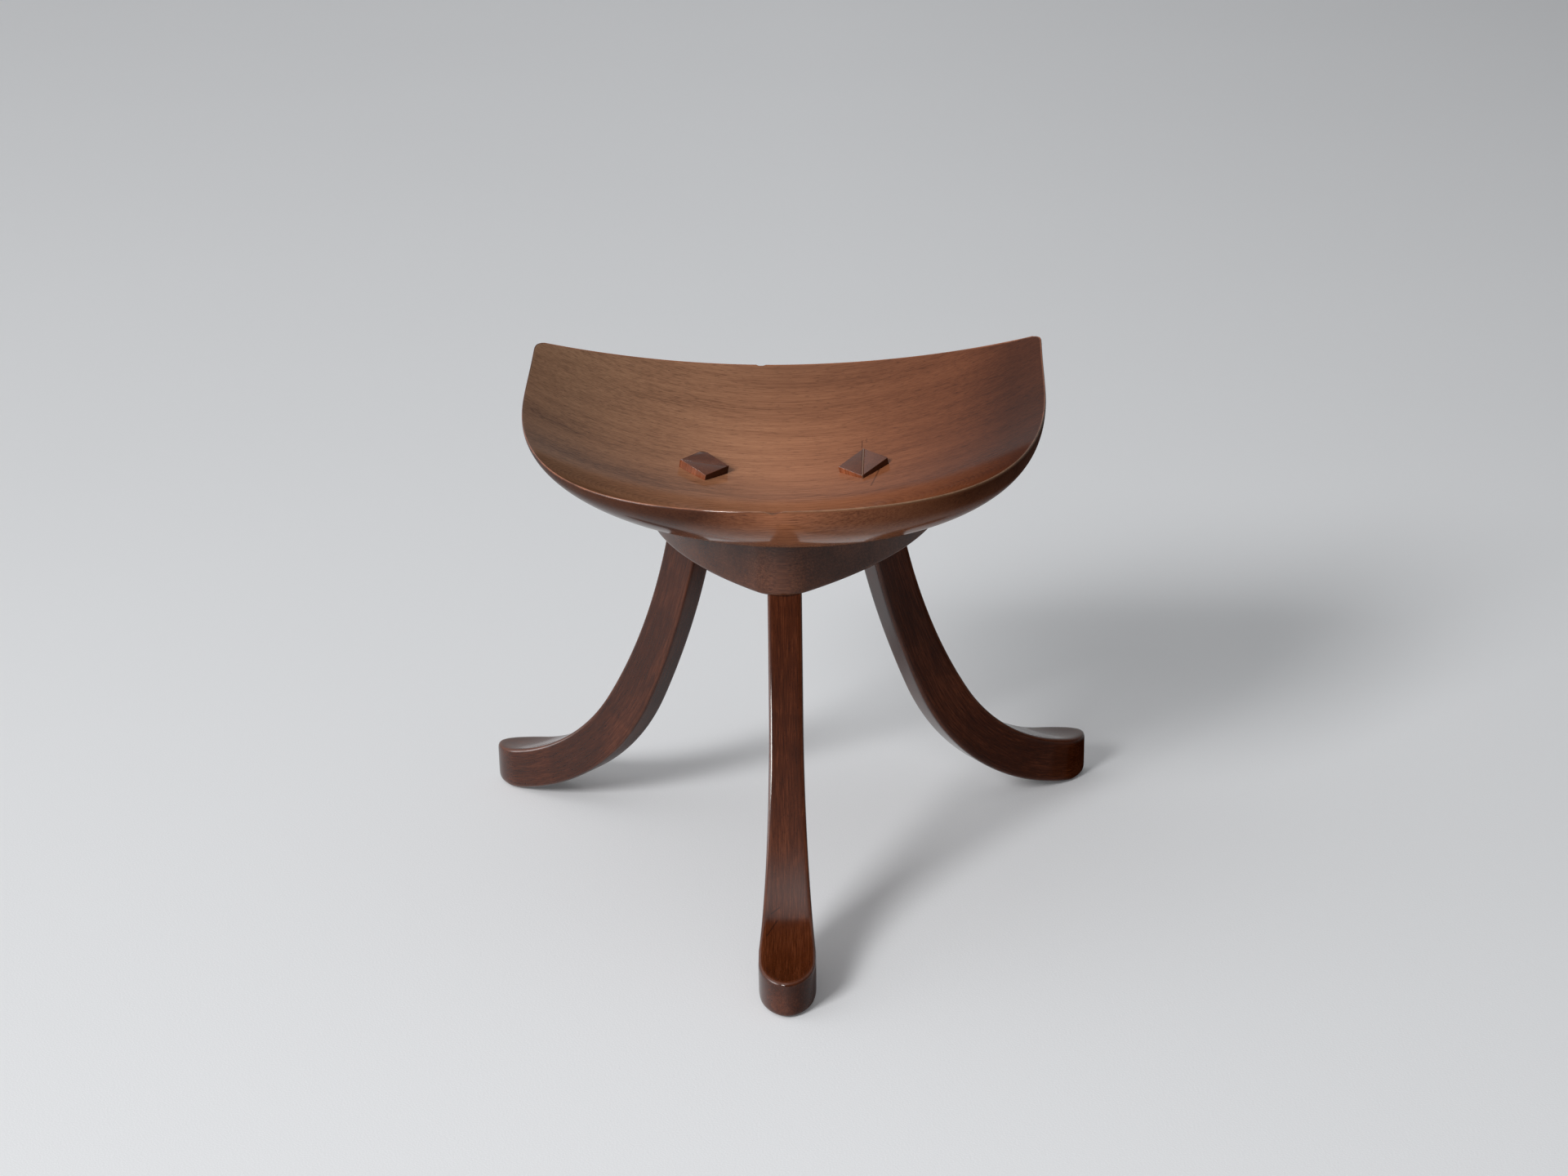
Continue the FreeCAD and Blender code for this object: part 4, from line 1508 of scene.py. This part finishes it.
    def wedge(self, finish: bpy.types.Material, seat: Seat) -> bpy.types.Mesh:
        """Make the wedge that spreads the tenon.

        Args:
            finish: The wedge's material.
            seat: The seat that the wedge passes through.

        Returns:
            The wedge's mesh.
        """
        deep, wide = self.tenon_deep / 2, self.tenon_half
        far, near = self.kerf(self.wedge_half - self.wedge_gap)
        corners = ((deep, far), (deep, wide), (-near, wide), (-deep, -far), (-deep, -wide), (near, -wide))
        model = bmesh.new()
        model.verts.layers.float.new(WEAR)
        model.verts.layers.float_vector.new(GRAIN)
        plan = [Vector((x, y, 0.0)) for x, y in corners]
        self.add_post(model, plan, self.wedge_sunk, self.wedge_gap, seat)
        return finished_mesh(model, "wedge", finish)


def along_sweep(spoke: Vector) -> Vector:
    """Outward heading of a sweep where its spoke from the centre ends."""
    return Vector((-spoke.z, 0.0, spoke.x)).normalized()


def mortise_boxes(legs: Sequence[SweptLeg]) -> bpy.types.Object:
    """Make the boxes that the tenons pass through, as one object.

    Args:
        legs: The legs whose tenons are let in.

    Returns:
        The object with the boxes.
    """
    model = bmesh.new()
    for leg in legs:
        sizes = (
            leg.tenon_deep + 2 * leg.tenon_play,
            2 * (leg.tenon_half + leg.tenon_play),
            leg.mortise_high - leg.mortise_low,
        )
        middle = Matrix.Translation((0.0, 0.0, (leg.mortise_high + leg.mortise_low) / 2))
        scale = Matrix.Diagonal((*sizes, 1.0))
        bmesh.ops.create_cube(model, size=1.0, matrix=leg.tenon_place @ middle @ scale)
    mesh = bpy.data.meshes.new("mortises")
    model.to_mesh(mesh)
    model.free()
    return add_object("mortises", mesh)


FLOOR_GRIT = Streak(1.0, 700.0)
FLOOR_CLOUD = Streak(1.0, 1.3)


@dataclass(frozen=True)
class SoftLamp:
    """A square lamp with soft light."""

    name: str
    spot: Vector
    aim: Vector
    width: float
    power: float

    def build(self) -> None:
        """Hang the lamp and turn it to what it lights."""
        light = bpy.data.lights.new(self.name, "AREA")
        light.size = self.width
        light.energy = self.power
        lamp = add_object(self.name, light)
        lamp.location = self.spot
        lamp.rotation_euler = (self.aim - self.spot).to_track_quat("-Z", "Y").to_euler()


@dataclass(frozen=True)
class SkyGlow:
    """A broad patch of light in the surroundings."""

    aim: Vector
    strength: float
    curve: float
    mirrored_only: bool = False

    def light(self, heading: Sequence[Field]) -> Field:
        """Light of the patch in a heading given by its three numbers."""
        aim = self.aim.normalized()
        toward = heading[0] * aim.x + heading[1] * aim.y + heading[2] * aim.z
        return toward ** self.curve * self.strength


@dataclass
class Studio:
    """The pale floor, the soft light and the camera."""

    camera_spot: Vector
    pan: float
    tilt: float
    roll: float
    lens: float
    sensor: float
    floor_reach: float
    floor_colour: Colour
    floor_glow: float
    floor_fade: float
    floor_mottle: float
    floor_relief: float
    floor_bump: float
    floor_roughness: float
    sky_colour: Colour
    sky_low: float
    glows: Sequence[SkyGlow]
    lamps: Sequence[SoftLamp]

    def build(self) -> None:
        """Set up the whole studio."""
        self.lay_floor()
        self.set_sky()
        for lamp in self.lamps:
            lamp.build()
        self.set_camera()

    def lay_floor(self) -> None:
        """Lay the floor, give it a faint paper texture and a painted glow that fades to the right."""
        mesh = bpy.data.meshes.new("floor")
        reach = self.floor_reach
        corners = ((-reach, -reach, 0.0), (reach, -reach, 0.0), (reach, reach, 0.0), (-reach, reach, 0.0))
        mesh.from_pydata(corners, [], [(0, 1, 2, 3)])
        floor = add_object("floor", mesh)
        material = bpy.data.materials.new("floor_paper")
        tree = cleared(material)
        place = tree.spot()
        grit, cloud = (streak.over(tree, place) for streak in (FLOOR_GRIT, FLOOR_CLOUD))
        shade = 1.0 + (grit + cloud) * self.floor_mottle
        bump_feeds = {"Height": grit, "Distance": self.floor_relief, "Strength": self.floor_bump}
        bump = tree.node("ShaderNodeBump", bump_feeds)
        # Painted light: camera and glossy rays see the floor glow, less towards the right, which lifts its
        # shadows.
        glow = (1.0 - place[0] * self.floor_fade).limited() * self.mirrored(tree) * self.floor_glow
        feeds = {
            "Base Color": tree.tint(1.0, self.floor_colour, tree.join(shade, shade, shade), "MULTIPLY"),
            "Roughness": self.floor_roughness,
            "Normal": bump.outputs["Normal"],
            "Emission Color": tree.tint(glow, BLACK, self.floor_colour),
            "Emission Strength": 1.0,
        }
        shader = tree.node("ShaderNodeBsdfPrincipled", feeds)
        tree.node("ShaderNodeOutputMaterial", {"Surface": shader.outputs["BSDF"]})
        mesh.materials.append(material)

    @staticmethod
    def mirrored(tree: Tree) -> Field:
        """One for rays that show the surroundings and do not light anything, else nought."""
        path = tree.node("ShaderNodeLightPath")
        return Field(tree, path.outputs["Is Camera Ray"]) + Field(tree, path.outputs["Is Glossy Ray"])

    def set_sky(self) -> None:
        """Give the surroundings their broad patches of light."""
        world = bpy.data.worlds.new("studio")
        tree = cleared(world)
        heading = tree.split(tree.field("ShaderNodeTexCoord", take="Generated"))
        strength = self.sky_low
        for glow in self.glows:
            light = glow.light(heading)
            strength = strength + (light * self.mirrored(tree) if glow.mirrored_only else light)
        sky = tree.node("ShaderNodeBackground", {"Color": self.sky_colour, "Strength": strength})
        tree.node("ShaderNodeOutputWorld", {"Surface": sky.outputs[0]})
        bpy.context.scene.world = world

    def set_camera(self) -> None:
        """Stand the camera where the picture was taken from."""
        data = bpy.data.cameras.new("camera")
        data.lens = self.lens
        data.sensor_width = self.sensor
        camera = add_object("camera", data)
        turn = Matrix.Rotation(self.pan, 4, "Z") @ Matrix.Rotation(self.tilt, 4, "X")
        turn = turn @ Matrix.Rotation(self.roll, 4, "Z")
        camera.matrix_world = Matrix.Translation(self.camera_spot) @ turn
        bpy.context.scene.camera = camera


STUDIO = Studio(
    camera_spot=Vector((0.0398, -2.38406, 0.9948)),
    pan=math.radians(0.95),
    tilt=math.radians(71.95),
    roll=math.radians(-1.0),
    lens=84.36,
    sensor=36.0,
    floor_reach=14.0,
    floor_colour=(0.805, 0.815, 0.832),
    floor_glow=0.1,
    floor_fade=0.8,
    floor_mottle=0.03,
    floor_relief=0.0002,
    floor_bump=0.6,
    floor_roughness=0.75,
    sky_colour=(0.98, 0.99, 1.0),
    sky_low=0.04,
    glows=(
        SkyGlow(Vector((-0.9, -0.1, 0.4)), 0.65, 2.0),
        SkyGlow(Vector((-0.1, -0.1, 1.0)), 0.3, 2.0),
        SkyGlow(Vector((-0.1, -0.15, 1.0)), 1.0, 20.0, mirrored_only=True),
        SkyGlow(Vector((-0.1, 0.95, 0.3)), 0.42, 1.5, mirrored_only=True),
        SkyGlow(Vector((-0.95, -0.1, 0.28)), 8.0, 25.0, mirrored_only=True),
    ),
    lamps=(SoftLamp("key", Vector((-3.2, -4.62, 3.46)), Vector((0.0, 0.0, 0.2)), 1.8, 330.0),),
)


def main() -> None:
    """Build the stool and its stage in order."""
    logging.basicConfig(level=logging.INFO, format="%(name)s: %(message)s")
    bpy.context.scene.view_settings.view_transform = "Standard"
    STUDIO.build()
    effects = Effects(WoodFigure(), SurfaceTone(), EdgeWear(), Handling(), Polish(), ScratchMark())
    woods = {wood.name: wood.material(effects) for wood in (SEAT_WOOD, BLOCK_WOOD, LEG_WOOD, WEDGE_WOOD)}
    axis_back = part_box(Leg.FRONT.node)[0].y + SweptLeg.reach

    legs = [
        SweptLeg(Leg.FRONT, axis_back, aside=0.0013, tenon_proud=0.0035, tenon_tilt=0.0),
        SweptLeg(
            Leg.LEFT,
            axis_back,
            foot_extra=0.004,
            foot_sweep=0.145,
            reach=0.2778,
            deep=0.026,
            twist=math.radians(3.0),
            tenon_corner=0.004,
            tenon_turn=math.radians(-4.0),
            tenon_proud=0.0062,
            tenon_deep=0.0256,
            tenon_half=0.0115,
        ),
        SweptLeg(
            Leg.RIGHT,
            axis_back,
            foot_extra=0.007,
            foot_sweep=0.146,
            reach=0.2778,
            deep=0.028,
            twist=math.radians(-7.0),
            tenon_turn=math.radians(6.0),
            tenon_tilt=0.15,
            tenon_deep=0.0264,
            tenon_half=0.0117,
        ),
    ]
    mortises = mortise_boxes(legs)
    seat = Seat(axis_back)
    bowl = seat.build(woods["seat_wood"])
    faces = [tuple(face.vertices) for face in bowl.polygons]
    hull = BVHTree.FromPolygons([vertex.co for vertex in bowl.vertices], faces)
    block = LegBlock(axis_back).build(woods["block_wood"], hull)
    place_piece(cut_away(bowl, mortises), "seat")
    place_piece(cut_away(block, mortises), "leg_block")
    bpy.data.objects.remove(mortises)
    shape = SweptLeg.shape()
    for leg in legs:
        place_piece(leg.build(shape, woods["leg_wood"], seat), leg.leg.node)
        wedge_finish = woods["leg_wood" if leg.leg is Leg.LEFT else "wedge_wood"]
        place_piece(leg.wedge(wedge_finish, seat), "wedge_" + leg.leg.name.lower())


if __name__ == "__main__":
    main()
